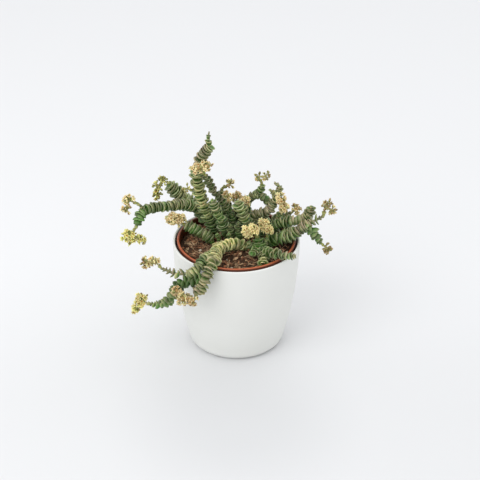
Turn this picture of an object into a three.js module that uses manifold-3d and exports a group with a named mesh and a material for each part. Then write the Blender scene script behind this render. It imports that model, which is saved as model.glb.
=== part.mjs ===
// Potted jade necklace crassula: stems of stacked leaf pairs and cream flower heads, in a red-brown
// nursery pot that stands inside a white cover pot. Millimetres, +Z up, origin at the middle of the base.
import * as THREE from 'three';
import { mergeVertices } from 'three/addons/utils/BufferGeometryUtils.js';
import Module from 'manifold-3d';

const wasm = await Module();
wasm.setup();

// Driving dimensions
const GAP = 0.3; // kept between neighbouring pieces
const SIDES = 30; // facets round each pot
const FRAME_STEPS = 240; // steps along a stem's curve in following its twist

const COVER = {
  height: 115,
  rimRadius: 63.5,
  midRadius: 59.2,
  footRadius: 47, // where the wall would meet the base without its rounding
  footRounding: 9,
  rimRounding: 0.8,
  wall: 2.2,
  floor: 3,
  bends: [0.3, 0.62], // where the wall's facets meet, against the height
};

const NURSERY = {
  lipRadius: 59.5,
  lipWidth: 2.6,
  lipRise: 1.2, // the lip stands this high over the cover pot's rim
  lipDrop: 9, // and ends this far under it
  lipRounding: 0.6,
  baseRadius: 40,
  wall: 1.2,
  floor: 1.6,
  drainRadius: 4,
  drainRing: 24,
  drainCount: 4,
  drainSides: 8,
};

const SOIL = {
  edgeLevel: 106.4,
  dome: 1.6,
  relief: 0.7,
  rings: [0.8, 0.55, 0.28], // rows of points on the top, against its edge
  clearance: 0.54, // to the nursery pot's wall
};

const STALK = {
  radius: 2.2,
  foot: 95, // lowest end of each rooted stalk
  upright: 109, // it stands straight up to this level
  clear: 109.5, // level where the first leaves stand free of the soil
  play: 0.39, // round the stalk in its hole
  step: 0.25, // step along it in looking for that level
};

const LEAF = {
  sides: 6, // points of each margin: two leaf tips and two on each flank between them
  pitch: 4.33, // distance between leaf pairs along the stem
  tip: 1.1, // reach of a leaf at its point, against the stem's mean radius
  flank: 1, // reach between the two points
  neck: 0.66, // waist between two pairs
  depth: 0.6, // least depth of the waist below the margin
  marginRise: 0.58, // height of the leaf edge in its pitch
  growing: [0.5, 0.76, 0.92], // the lowest pairs of a rooted stem are small
  tapering: [0.95, 0.75], // and so are the last pairs at its tip
};

const FLOWER = {
  petals: 5,
  reach: 0.54, // petal points from the flower's axis, against the cluster's least half size
  notch: 0.5, // petal roots, against the points
  lift: 0.14, // petal points above the roots
  cup: 0.1, // middle below the petal roots
};

const BUD = {
  reach: 0.24,
  belly: 0.16, // widest level below the cluster's own surface
  point: 0.12, // top above it
};

const HEAD = {
  core: 0.6, // core against the cluster's own half sizes
  stalkRadius: 0.7,
  collar: 1.5, // width of the stalk at its collar, against the stalk
  collarReach: 1, // the collar from the cluster's middle, against its least half size
  clear: 0.8, // from the stem's tip to the stalk
};

const colours = {
  cover: { color: 0xe6e8e3, roughness: 0.42, metalness: 0 },
  nursery: { color: 0x8c3a24, roughness: 0.55, metalness: 0 },
  soil: { color: 0x4a3226, roughness: 0.95, metalness: 0 },
  leaf: { color: 0x6f8560, roughness: 0.6, metalness: 0 },
  flower: { color: 0xe8d3a2, roughness: 0.7, metalness: 0 },
};

// Stems of each plant: the route of every stem up to its tip, and its radius at both ends. The first stem
// of a plant has its root at [x, y] in the soil, and the others branch from it.
const plants = {
  stem_tall: [
    {
      root: [-20, 17],
      route: [
        [-23, 17, 118], [-29, 18, 133], [-34, 19, 146], [-38, 18, 160], [-39, 17, 175], [-37, 15, 189],
        [-32, 13, 203], [-25, 12, 213],
      ],
      radius: [5.9, 5.4],
    },
    {
      route: [[-26, 12, 213], [-27, 11, 221], [-26, 11, 229]],
      radius: [3.6, 1.7],
      flank: 0.8,
    },
    {
      route: [[-37, 18, 159], [-41, 16, 161], [-44, 15, 162]],
      radius: [3.2, 3],
      flank: 0.7,
    },
  ],
  stem_front_upright: [
    {
      root: [-10, 12],
      route: [[-12, 11, 120], [-15, 9, 132], [-20, 7, 144], [-24, 6, 156]],
      radius: [5.7, 5.7],
    },
  ],
  stem_slim_open: [
    {
      root: [-3, 25],
      route: [
        [-6, 23, 125], [-11, 21, 137], [-18, 18, 150], [-24, 14, 164], [-28, 9, 177], [-30, 6, 184],
      ],
      radius: [4.8, 4],
      pitch: 4,
      flank: 0.8,
    },
  ],
  stem_slim_back: [
    {
      root: [-14, 42],
      route: [[-15, 42, 128], [-15, 41, 150]],
      radius: [4.2, 3.6],
      flank: 0.8,
    },
    {
      route: [[-14, 42, 122], [-9, 38, 130], [-6, 35, 135]],
      radius: [4.4, 3.6],
      flank: 0.8,
    },
  ],
  stem_middle: [
    {
      root: [12, 11],
      route: [[11, 12, 122], [8, 13, 133], [4, 13, 143], [1, 13, 151]],
      radius: [6.9, 6.2],
    },
  ],
  stem_middle_back: [
    {
      root: [2, 38],
      route: [[2, 38, 122], [1, 37, 133]],
      radius: [4.6, 3.8],
      flank: 0.85,
    },
    {
      route: [[3, 37, 118], [7, 34, 125], [9, 33, 131]],
      radius: [3.4, 3.2],
      flank: 0.8,
    },
  ],
  stem_arched_back: [
    {
      root: [14, 45],
      route: [
        [11, 45, 120], [9, 43, 129], [11, 41, 136], [16, 40, 142], [21, 38, 145], [26, 37, 144],
        [30, 38, 139], [33, 39, 133],
      ],
      radius: [5.4, 4.8],
    },
    {
      route: [[20, 38, 144], [24, 36, 150], [26, 35, 155], [26, 35, 159]],
      radius: [4, 3.2],
      flank: 0.8,
    },
  ],
  stem_right_upright: [
    {
      root: [14, 27],
      route: [
        [14, 26, 119], [16, 25, 127], [21, 25, 131], [27, 25, 132], [32, 25, 134], [36, 25, 139],
        [39, 25, 147], [42, 25, 154], [44, 25, 162],
      ],
      radius: [5.6, 4.4],
    },
    {
      route: [[40, 25, 152], [36, 25, 155], [33, 25, 158]],
      radius: [2.4, 2.6],
      flank: 0.7,
    },
    {
      route: [[43, 25, 159], [41, 25, 163], [38, 25, 166]],
      radius: [2.6, 2.8],
      flank: 0.7,
    },
  ],
  stem_right_slim: [
    {
      root: [36, 34],
      route: [[41, 30, 120], [46, 25, 131]],
      radius: [4.8, 4.2],
      flank: 0.85,
    },
    {
      route: [[40, 31, 119], [49, 29, 125], [55, 26, 130]],
      radius: [3.8, 3.2],
      flank: 0.8,
    },
  ],
  stem_right_long: [
    {
      root: [35, 13],
      route: [[37, 14, 119], [44, 13, 126], [53, 11, 129], [63, 10, 131], [71, 9, 136], [75, 9, 147]],
      radius: [6.8, 4.5],
    },
  ],
  stem_right_forked: [
    {
      root: [30, -4],
      route: [[37, -6, 118], [50, -7, 121], [60, -7, 128], [68, -6, 133], [74, -5, 138]],
      radius: [6.7, 5.6],
    },
    {
      route: [[73, -5, 137], [80, -4, 140], [86, -3, 143]],
      radius: [4.2, 3.6],
      pitch: 4,
      flank: 0.75,
    },
    {
      route: [[68, -6, 133], [74, -8, 131], [78, -10, 125], [84, -11, 117]],
      radius: [5.2, 4.6],
    },
  ],
  stem_front_clump: [
    {
      root: [24, -19],
      route: [[23, -19, 117], [21, -17, 127]],
      radius: [6.6, 6],
    },
    {
      route: [[24, -18, 113], [28, -13, 118], [30, -11, 123]],
      radius: [4, 3.6],
    },
    {
      route: [[22, -19, 115], [15, -20, 117], [12, -18, 123]],
      radius: [4.8, 4.4],
    },
    {
      route: [[22, -20, 114], [17, -27, 115], [15, -31, 117]],
      radius: [4.2, 4.2],
    },
    {
      route: [[24, -21, 115], [27, -31, 115], [26, -42, 114]],
      radius: [5.2, 5],
    },
    {
      route: [
        [25, -20, 115], [31, -31, 118], [37, -39, 122], [44, -44, 123], [51, -46, 123], [58, -46, 123],
      ],
      radius: [5, 4.8],
    },
  ],
  stem_front_arch: [
    {
      root: [10, -11],
      route: [
        [3, -13, 117], [-7, -17, 119], [-15, -25, 121], [-19, -34, 122], [-20, -45, 123],
        [-22, -56, 124], [-26, -65, 121], [-30, -70, 112], [-35, -72, 103], [-37, -72, 98],
      ],
      radius: [6.9, 5.6],
    },
    {
      route: [
        [-20, -40, 122], [-25, -46, 123], [-30, -52, 123], [-35, -60, 121], [-40, -64, 117],
        [-47, -63, 113],
      ],
      radius: [6, 5.2],
      flank: 0.86,
    },
    {
      route: [[-44, -63, 115], [-54, -61, 112], [-61, -59, 112], [-67, -57, 114], [-72, -55, 115]],
      radius: [4.6, 3.4],
      flank: 0.7,
    },
    {
      route: [
        [-31, -70, 111], [-38, -69, 108], [-45, -67, 104], [-51, -65, 99], [-56, -62, 92],
        [-62, -57, 82], [-70, -52, 73], [-77, -49, 69], [-85, -47, 68],
      ],
      radius: [5.6, 4.5],
    },
  ],
  stem_left_low: [
    {
      root: [-24, 2],
      route: [[-28, 3, 116], [-35, 5, 119], [-43, 7, 123], [-51, 9, 126]],
      radius: [6.2, 5.6],
    },
  ],
  stem_left_forked: [
    {
      root: [-27, 40],
      route: [
        [-33, 38, 119], [-41, 34, 131], [-51, 28, 139], [-67, 18, 143], [-84, 8, 146], [-92, 2, 146],
        [-96, -3, 141], [-98, -5, 134],
      ],
      radius: [6.2, 5.4],
    },
    {
      route: [
        [-37, 36, 127], [-46, 38, 137], [-54, 39, 143], [-62, 38, 150], [-67, 37, 158],
      ],
      radius: [6.6, 5],
    },
    {
      route: [[-90, 3, 146], [-93, 1, 150], [-95, 0, 154]],
      radius: [3, 2.8],
      flank: 0.8,
    },
  ],
  shoot_middle_hidden: [
    {
      root: [5, 27],
      route: [[5, 27, 120], [3, 27, 131], [1, 27, 139]],
      radius: [4.2, 4.2],
    },
  ],
  shoot_right_inner: [
    {
      root: [24, 10],
      route: [[26, 8, 119], [27, 6, 129]],
      radius: [4.6, 4.4],
    },
  ],
  shoot_middle_left: [
    {
      root: [-1, 14],
      route: [[-1, 14, 118], [-3, 14, 126], [-4, 14, 133]],
      radius: [4.6, 4],
    },
    {
      route: [[-1, 13, 117], [1, 9, 124], [2, 7, 130]],
      radius: [3, 3],
      flank: 0.8,
    },
  ],
  shoot_middle_front: [
    {
      root: [-4, 2],
      route: [[-5, 3, 117], [-6, 3, 124], [-6, 3, 130]],
      radius: [3.6, 3],
      flank: 0.85,
    },
    {
      route: [[-5, 2, 114], [-7, -1, 119], [-8, -3, 123]],
      radius: [2.8, 2.8],
      flank: 0.8,
    },
  ],
  shoot_middle_low: [
    {
      root: [4, 0],
      route: [[3, 1, 117], [2, 2, 126]],
      radius: [4, 3.6],
      flank: 0.85,
    },
  ],
  shoot_left_low: [
    {
      root: [-17, 3],
      route: [[-18, 2, 116], [-20, 0, 120]],
      radius: [3.6, 3.4],
      flank: 0.85,
    },
  ],
  shoot_back_right: [
    {
      root: [25, 38],
      route: [[26, 38, 117], [28, 36, 123]],
      radius: [5.2, 4.8],
    },
  ],
  shoot_right_low: [
    {
      root: [42, 4],
      route: [[44, 4, 117], [50, 4, 122], [56, 3, 125]],
      radius: [3.6, 3.2],
      flank: 0.85,
    },
  ],
};

// Flower heads: the stem tip that each grows from, and its clusters, each with its centre, its half sizes
// and the number of its florets that are open. A full cluster has a stalk and eleven florets, a small one a
// stalk and five. The first stalk starts at the stem tip and the others in the first cluster.
const heads = {
  head_tall_side: {
    from: [-44, 15, 162],
    clusters: [
      { at: [-49, 14, 165], half: [3.4, 3.2, 3.2], open: 0 },
    ],
  },
  head_slim_open: {
    from: [-30, 6, 184],
    clusters: [
      { at: [-37, 2, 194], half: [5.4, 4.4, 4.6], open: 3 },
      { at: [-29, 2, 196], half: [5, 4.2, 4.2], open: 3 },
    ],
  },
  head_slim_back: {
    from: [-15, 41, 150],
    clusters: [
      { at: [-6, 37, 158], half: [4, 4, 4], open: 1 },
    ],
  },
  head_back_left: {
    from: [-6, 35, 135],
    clusters: [
      { at: [-10, 29, 146], half: [5.4, 4.6, 7], full: true, open: 7 },
    ],
  },
  head_back_middle: {
    from: [1, 37, 133],
    clusters: [
      { at: [0, 34, 145], half: [3.6, 3.6, 5.6], open: 2 },
    ],
  },
  head_back_right: {
    from: [9, 33, 131],
    clusters: [
      { at: [8, 30, 142], half: [5, 4.4, 4.4], open: 4 },
    ],
  },
  head_arched: {
    from: [26, 35, 159],
    clusters: [
      { at: [22, 35, 167], half: [3.6, 3.4, 3.4], open: 1 },
      { at: [30, 34, 168], half: [3.4, 3.4, 3.4], open: 1 },
    ],
  },
  head_right_column: {
    from: [46, 25, 131],
    clusters: [
      { at: [46, 16, 146], half: [5.8, 4.8, 8.8], full: true, open: 9 },
    ],
  },
  head_right_small: {
    from: [55, 26, 130],
    clusters: [
      { at: [60, 23, 136], half: [4.4, 4, 6.6], open: 3 },
    ],
  },
  head_far_right: {
    from: [86, -3, 143],
    clusters: [
      { at: [87, -3, 154], half: [3.4, 3.4, 3.6], open: 2 },
      { at: [90, -3, 157], half: [3.6, 3.4, 3.4], open: 2 },
      { at: [94, -3, 149], half: [3.4, 3.4, 3.8], open: 1 },
    ],
  },
  head_right_low: {
    from: [84, -11, 117],
    clusters: [
      { at: [90, -12, 111], half: [4.2, 4, 4.4], open: 2 },
    ],
  },
  head_front_left: {
    from: [21, -17, 127],
    clusters: [
      { at: [13, -23, 138], half: [8.8, 6.4, 7], full: true, open: 10 },
    ],
  },
  head_front_right: {
    from: [30, -11, 123],
    clusters: [
      { at: [29, -10, 135], half: [7.4, 6, 8], full: true, open: 9 },
    ],
  },
  head_arch_side: {
    from: [-72, -55, 115],
    clusters: [
      { at: [-78, -54, 122], half: [4.2, 3.8, 4.8], open: 3 },
      { at: [-87, -53, 120], half: [3.8, 3.6, 5.4], open: 3 },
    ],
  },
  head_arch_end: {
    from: [-37, -72, 98],
    clusters: [
      { at: [-42, -78, 93], half: [5, 4.6, 4.8], open: 4 },
      { at: [-51, -78, 95], half: [5.8, 5, 5.6], full: true, open: 8 },
      { at: [-57, -76, 103], half: [4, 3.4, 4], open: 1 },
    ],
  },
  head_arch_low: {
    from: [-85, -47, 68],
    clusters: [
      { at: [-95, -44, 69], half: [7, 6, 7], full: true, open: 8 },
    ],
  },
  head_left_low: {
    from: [-51, 9, 126],
    clusters: [
      { at: [-62, 9, 134], half: [9, 5.6, 6], full: true, open: 8 },
    ],
  },
  head_left_hanging: {
    from: [-98, -5, 134],
    clusters: [
      { at: [-106, -8, 123], half: [7.4, 6, 7.4], full: true, open: 7 },
      { at: [-94, -8, 119], half: [3.6, 3.4, 4.4], open: 2 },
    ],
  },
  head_left_upper: {
    from: [-95, 0, 154],
    clusters: [
      { at: [-105, -1, 160], half: [5.4, 4.4, 4.2], open: 3 },
      { at: [-109, -2, 151], half: [3.6, 3.4, 4.8], open: 2 },
    ],
  },
  head_left_back: {
    from: [-67, 37, 158],
    clusters: [
      { at: [-74, 35, 163], half: [3.6, 3.2, 3.8], open: 1 },
      { at: [-79, 35, 156], half: [3.8, 3.4, 4.2], open: 2 },
      { at: [-80, 34, 147], half: [3.2, 3.2, 4.4], open: 2 },
    ],
  },
};

const vec = (p) => new THREE.Vector3(...p);

// Seeded draw between 0 and 1
function seededDraw(seed) {
  let state = seed >>> 0;
  return () => {
    state = (state + 0x6d2b79f5) >>> 0;
    let t = Math.imul(state ^ (state >>> 15), state | 1);
    t ^= t + Math.imul(t ^ (t >>> 7), t | 61);
    return ((t ^ (t >>> 14)) >>> 0) / 4294967296;
  };
}

// A closed mesh as a solid for joining and cutting
function toSolid(geometry) {
  const bare = geometry.index ? geometry.clone() : geometry;
  bare.deleteAttribute('normal');
  bare.deleteAttribute('uv');
  const merged = mergeVertices(bare, 1e-4);
  return new wasm.Manifold(new wasm.Mesh({
    numProp: 3,
    vertProperties: new Float32Array(merged.attributes.position.array),
    triVerts: new Uint32Array(merged.index.array),
  }));
}

function toGeometry(solid) {
  const mesh = solid.getMesh();
  const geometry = new THREE.BufferGeometry();
  geometry.setAttribute('position', new THREE.BufferAttribute(new Float32Array(mesh.vertProperties), 3));
  geometry.setIndex(new THREE.BufferAttribute(new Uint32Array(mesh.triVerts), 1));
  return geometry;
}

function fuse(geometries) {
  return toGeometry(geometries.map(toSolid).reduce((whole, next) => whole.add(next)));
}

// Outer radius of the cover pot's wall at a level: one parabola through foot, middle and rim
function coverRadius(z) {
  const t = z / COVER.height;
  const rise = COVER.rimRadius - COVER.footRadius;
  const bulge = 4 * (COVER.midRadius - COVER.footRadius) - 2 * rise;
  return COVER.footRadius + rise * t + bulge * t * (1 - t);
}

const lathe = (profile) => new THREE.LatheGeometry(profile, SIDES).rotateX(Math.PI / 2);

function coverPot() {
  const r = COVER.footRounding;
  const round = COVER.rimRounding;
  const profile = [new THREE.Vector2(0, 0)];
  for (const turn of [0, 0.5, 1]) {
    const angle = turn * Math.PI / 2;
    const z = r * (1 - Math.cos(angle));
    profile.push(new THREE.Vector2(coverRadius(r) - r + r * Math.sin(angle), z));
  }
  const levels = COVER.bends.map((t) => t * COVER.height);
  for (const z of levels) {
    profile.push(new THREE.Vector2(coverRadius(z), z));
  }
  profile.push(new THREE.Vector2(COVER.rimRadius, COVER.height - round));
  profile.push(new THREE.Vector2(COVER.rimRadius - round, COVER.height));
  profile.push(new THREE.Vector2(COVER.rimRadius - COVER.wall, COVER.height - round / 2));
  for (const z of levels.reverse()) {
    profile.push(new THREE.Vector2(coverRadius(z) - COVER.wall, z));
  }
  profile.push(new THREE.Vector2(coverRadius(r) - COVER.wall, r));
  profile.push(new THREE.Vector2(coverRadius(r) - r, COVER.floor));
  profile.push(new THREE.Vector2(0, COVER.floor));
  return lathe(profile);
}

const nurseryBase = COVER.floor + GAP;
const lipLevel = COVER.height - NURSERY.lipDrop;

// Outer radius of the nursery pot's cone under its lip
function nurseryRadius(z) {
  const top = NURSERY.lipRadius - NURSERY.lipWidth + NURSERY.wall;
  const t = (z - nurseryBase) / (lipLevel - nurseryBase);
  return NURSERY.baseRadius + (top - NURSERY.baseRadius) * t;
}

function nurseryPot() {
  const inner = NURSERY.lipRadius - NURSERY.lipWidth;
  const round = NURSERY.lipRounding;
  const top = COVER.height + NURSERY.lipRise;
  const profile = [
    [0, nurseryBase],
    [NURSERY.baseRadius, nurseryBase],
    [nurseryRadius(lipLevel), lipLevel],
    [NURSERY.lipRadius - round, lipLevel + 2 * round],
    [NURSERY.lipRadius, top - round],
    [NURSERY.lipRadius - round, top],
    [inner + round, top],
    [inner, top - round],
    [inner, lipLevel],
    [NURSERY.baseRadius - NURSERY.wall, nurseryBase + NURSERY.floor],
    [0, nurseryBase + NURSERY.floor],
  ].map(([r, z]) => new THREE.Vector2(r, z));
  let body = toSolid(lathe(profile));
  const { drainRadius: radius, drainRing: ring, drainCount: count, drainSides: sides } = NURSERY;
  for (let i = 0; i < count; i += 1) {
    const angle = (i + 0.5) * 2 * Math.PI / count;
    const drain = new THREE.CylinderGeometry(radius, radius, 4 * NURSERY.floor, sides);
    drain.rotateX(Math.PI / 2);
    drain.translate(ring * Math.cos(angle), ring * Math.sin(angle), nurseryBase);
    body = body.subtract(toSolid(drain));
  }
  return toGeometry(body);
}

// Unevenness of the potting mix: two sets of waves that cross
function groundWaves(x, y) {
  return Math.sin(x / 3.2 + 1.3) * Math.cos(y / 3.7) + 0.6 * Math.sin(x / 5.3 - y / 2.3);
}

// Potting mix: a filling with a slightly domed, uneven top and a plain hole for every rooted stalk
function soil() {
  const bottom = nurseryBase + NURSERY.floor + GAP;
  const innerRadius = (z) => Math.min(
    nurseryRadius(z) - NURSERY.wall,
    NURSERY.lipRadius - NURSERY.lipWidth,
  ) - SOIL.clearance;
  const edge = innerRadius(SOIL.edgeLevel);
  const profile = [new THREE.Vector2(0, bottom), new THREE.Vector2(innerRadius(bottom), bottom)];
  profile.push(new THREE.Vector2(edge, SOIL.edgeLevel));
  for (const ring of SOIL.rings) {
    profile.push(new THREE.Vector2(edge * ring, SOIL.edgeLevel + SOIL.dome * (1 - ring * ring)));
  }
  profile.push(new THREE.Vector2(0, SOIL.edgeLevel + SOIL.dome));
  const geometry = lathe(profile);
  const position = geometry.attributes.position;
  for (let i = 0; i < position.count; i += 1) {
    const x = position.getX(i);
    const y = position.getY(i);
    const z = position.getZ(i);
    if (z > SOIL.edgeLevel + 0.01 && Math.hypot(x, y) > 1) {
      position.setZ(i, z + SOIL.relief * groundWaves(x, y));
    }
  }
  let body = toSolid(geometry);
  const radius = (STALK.radius + STALK.play) / Math.cos(Math.PI / LEAF.sides);
  const height = 2 * (STALK.upright - STALK.foot);
  for (const [{ root: [x, y] }] of Object.values(plants)) {
    const hole = new THREE.CylinderGeometry(radius, radius, height, LEAF.sides);
    hole.rotateX(Math.PI / 2);
    hole.rotateZ(Math.PI / 2);
    hole.translate(x, y, STALK.foot - GAP + height / 2);
    body = body.subtract(toSolid(hole));
  }
  return toGeometry(body);
}

// One stem of stacked leaf pairs. Every pair has a waist and a margin of six points, two of them the leaf
// tips; each pair is turned a quarter against the last, so ring p starts 30 degrees on and its tips move by
// one point. The waists and margins of all pairs join into one closed surface.
function leafyStem({ root, route, radius, pitch = LEAF.pitch, flank = LEAF.flank }) {
  const stalk = root ? [[...root, STALK.foot], [...root, STALK.upright]] : [];
  const curve = new THREE.CatmullRomCurve3([...stalk, ...route].map(vec), false, 'centripetal');
  const length = curve.getLength();
  let bare = 0;
  while (root && curve.getPointAt(bare / length).z < STALK.clear) {
    bare += STALK.step;
  }
  const pairs = Math.round((length - bare) / pitch);
  const step = (length - bare) / pairs;
  const rings = [];
  const ringAt = (distance, radii, turn) => rings.push({ distance, radii, turn });
  const stub = new Array(LEAF.sides).fill(STALK.radius);
  if (root) {
    ringAt(0, stub, 0);
    ringAt(bare, stub, 0);
  }
  for (let p = 0; p < pairs; p += 1) {
    const along = p / Math.max(1, pairs - 1);
    let size = radius[0] + (radius[1] - radius[0]) * along;
    size *= root ? LEAF.growing[p] ?? 1 : 1;
    size *= LEAF.tapering[LEAF.tapering.length - pairs + p] ?? 1;
    const margin = [];
    for (let k = 0; k < LEAF.sides; k += 1) {
      const isTip = (((k - p) % 3) + 3) % 3 === 0;
      margin.push(size * (isTip ? LEAF.tip : flank));
    }
    const start = bare + p * step;
    const waist = Math.min(size * LEAF.neck, size - LEAF.depth);
    if (p > 0 || !root) {
      ringAt(start, new Array(LEAF.sides).fill(waist), p);
    }
    ringAt(start + LEAF.marginRise * step, margin, p);
  }
  const vertices = [];
  const faces = [];
  const frames = curve.computeFrenetFrames(FRAME_STEPS, false);
  for (const ring of rings) {
    const at = ring.distance / length;
    const centre = curve.getPointAt(at);
    const frame = Math.round(at * FRAME_STEPS);
    ring.radii.forEach((reach, k) => {
      const angle = THREE.MathUtils.degToRad(30 * ring.turn + 60 * k);
      vertices.push(centre.clone()
        .addScaledVector(frames.normals[frame], reach * Math.cos(angle))
        .addScaledVector(frames.binormals[frame], reach * Math.sin(angle)));
    });
  }
  const n = LEAF.sides;
  for (let r = 0; r + 1 < rings.length; r += 1) {
    for (let k = 0; k < n; k += 1) {
      const a = r * n + k;
      const b = r * n + (k + 1) % n;
      faces.push([a, b, a + n], [b, b + n, a + n]);
    }
  }
  const last = (rings.length - 1) * n;
  const foot = vertices.push(curve.getPointAt(0)) - 1;
  const tip = vertices.push(curve.getPointAt(1)) - 1;
  for (let k = 0; k < n; k += 1) {
    faces.push([foot, (k + 1) % n, k], [tip, last + k, last + (k + 1) % n]);
  }
  const geometry = new THREE.BufferGeometry();
  geometry.setFromPoints(vertices);
  geometry.setIndex(faces.flat());
  return geometry;
}

function plant(stems) {
  return fuse(stems.map(leafyStem));
}

// The faces round each corner of a regular body, as rings of points: twelve rings of five from the
// icosahedron, six rings of four from the octahedron. Every ring runs counterclockwise seen from outside.
function cornerRings(body) {
  body.deleteAttribute('normal');
  body.deleteAttribute('uv');
  const merged = mergeVertices(body, 1e-4);
  const corner = (i) => new THREE.Vector3().fromBufferAttribute(merged.attributes.position, i);
  const faces = [];
  for (let i = 0; i < merged.index.count; i += 3) {
    faces.push([0, 1, 2].map((k) => merged.index.getX(i + k)));
  }
  const rings = [];
  for (let v = 0; v < merged.attributes.position.count; v += 1) {
    const axis = corner(v).normalize();
    const [across, aside] = crossDirections(axis);
    const ring = faces.filter((face) => face.includes(v)).map((face) => {
      const middle = face.reduce((sum, i) => sum.add(corner(i)), new THREE.Vector3()).normalize();
      return { point: middle, angle: Math.atan2(middle.dot(aside), middle.dot(across)) };
    });
    ring.sort((a, b) => a.angle - b.angle);
    rings.push({ axis, ring: ring.map((entry) => entry.point) });
  }
  return rings;
}

// Two directions square to an axis and to each other, right-handed with it
function crossDirections(axis) {
  const helper = Math.abs(axis.z) < 0.9 ? new THREE.Vector3(0, 0, 1) : new THREE.Vector3(1, 0, 0);
  const across = helper.cross(axis).normalize();
  return [across, axis.clone().cross(across)];
}

const fullTurn = 2 * Math.PI;
const turnOf = (angle) => ((angle % fullTurn) + fullTurn) % fullTurn;

// A strip of triangles between two rings of points round one axis, in step by their angles. Each ring's
// angles are taken round its own middle, from the low ring's first point.
function bridge(triangles, lowRing, highRing, axis) {
  const [across, aside] = crossDirections(axis);
  const anglesOf = (points) => {
    const middle = points.reduce((sum, p) => sum.add(p), new THREE.Vector3()).divideScalar(points.length);
    return points.map((point) => {
      const d = point.clone().sub(middle);
      return { point, angle: Math.atan2(d.dot(aside), d.dot(across)) };
    });
  };
  const zero = anglesOf(lowRing)[0].angle - 1e-6;
  const inOrder = (points) => anglesOf(points)
    .map(({ point, angle }) => ({ point, angle: turnOf(angle - zero) }))
    .sort((a, b) => a.angle - b.angle);
  const low = inOrder(lowRing);
  const high = inOrder(highRing);
  const n = low.length;
  const m = high.length;
  let j = 0;
  let k = 0;
  while (j < n || k < m) {
    const nextLow = j + 1 < n ? low[j + 1].angle : fullTurn;
    const nextHigh = k + 1 < m ? high[k + 1].angle : fullTurn + high[0].angle;
    const a = low[j % n].point;
    const b = high[k % m].point;
    if (k >= m || (j < n && nextLow <= nextHigh)) {
      triangles.push(a, low[(j + 1) % n].point, b);
      j += 1;
    } else {
      triangles.push(a, high[(k + 1) % m].point, b);
      k += 1;
    }
  }
}

// A fan that closes a ring of points at a top
function cap(triangles, ring, top) {
  ring.forEach((point, i) => triangles.push(point, ring[(i + 1) % ring.length], top));
}

// A circle of points round an axis, each given as [reach, height]
function rimPoints(middle, axis, spin, shape) {
  const [across, aside] = crossDirections(axis);
  return shape.map(([reach, height], k) => {
    const angle = spin + k * fullTurn / shape.length;
    return middle.clone()
      .addScaledVector(across, reach * Math.cos(angle))
      .addScaledVector(aside, reach * Math.sin(angle))
      .addScaledVector(axis, height);
  });
}

// One dense cluster. Its core's lowest ring becomes the stalk, and every other ring a floret: an open flower
// of five pointed petals, or a closed bud.
function cluster({ at, half, full, open }, from, draw) {
  const centre = vec(at);
  const down = from.clone().sub(centre);
  const body = full ? new THREE.IcosahedronGeometry(1, 0) : new THREE.OctahedronGeometry(1, 0);
  const rings = cornerRings(body);
  const turn = new THREE.Quaternion().setFromUnitVectors(rings[0].axis, down.clone().normalize());
  const size = Math.min(...half);
  const onCore = (p) => p.clone().applyQuaternion(turn).multiply(vec(half))
    .multiplyScalar(HEAD.core).add(centre);
  const triangles = [];
  rings.forEach(({ axis: place, ring }, i) => {
    const axis = place.clone().applyQuaternion(turn);
    const low = ring.map(onCore);
    if (i === 0) {
      const neck = centre.clone().addScaledVector(axis, size * HEAD.collarReach);
      const collar = rimPoints(neck, axis, 0, ring.map(() => [HEAD.stalkRadius * HEAD.collar, 0]));
      const rim = rimPoints(from, axis, 0, ring.map(() => [HEAD.stalkRadius, 0]));
      bridge(triangles, low, collar, axis);
      bridge(triangles, collar, rim, axis);
      cap(triangles, rim, from);
      return;
    }
    const middle = axis.clone().multiply(vec(half)).add(centre);
    const spin = fullTurn * draw();
    const opened = (count) => Math.floor(count * open / (rings.length - 1));
    if (opened(i) > opened(i - 1)) {
      const reach = size * FLOWER.reach;
      const shape = new Array(2 * FLOWER.petals).fill(0)
        .map((_, k) => (k % 2 ? [reach * FLOWER.notch, 0] : [reach, size * FLOWER.lift]));
      const top = middle.clone().addScaledVector(axis, -size * FLOWER.cup);
      const rim = rimPoints(middle, axis, spin, shape);
      bridge(triangles, low, rim, axis);
      cap(triangles, rim, top);
    } else {
      const shape = ring.map(() => [size * BUD.reach, -size * BUD.belly]);
      const top = middle.clone().addScaledVector(axis, size * BUD.point);
      const rim = rimPoints(middle, axis, spin, shape);
      bridge(triangles, low, rim, axis);
      cap(triangles, rim, top);
    }
  });
  return new THREE.BufferGeometry().setFromPoints(triangles);
}

// A flower head: its clusters joined, the first stalk starting just clear of the stem's tip
function flowerHead({ from, clusters }, seed) {
  const draw = seededDraw(seed);
  const tip = vec(from);
  const first = vec(clusters[0].at);
  const start = tip.clone().addScaledVector(first.clone().sub(tip).normalize(), HEAD.clear);
  const pieces = clusters.map((entry, c) => cluster(entry, c === 0 ? start : first, draw));
  return fuse(pieces);
}

const object = new THREE.Group();

function addPiece(name, geometry, look) {
  const mesh = new THREE.Mesh(geometry, new THREE.MeshStandardMaterial(look));
  mesh.name = name;
  object.add(mesh);
}

addPiece('cachepot', coverPot(), colours.cover);
addPiece('nursery_pot', nurseryPot(), colours.nursery);
addPiece('soil', soil(), colours.soil);
for (const [name, stems] of Object.entries(plants)) {
  addPiece(name, plant(stems), colours.leaf);
}
Object.entries(heads).forEach(([name, head], i) => {
  addPiece(name, flowerHead(head, 101 + i), colours.flower);
});

export default object;
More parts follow.
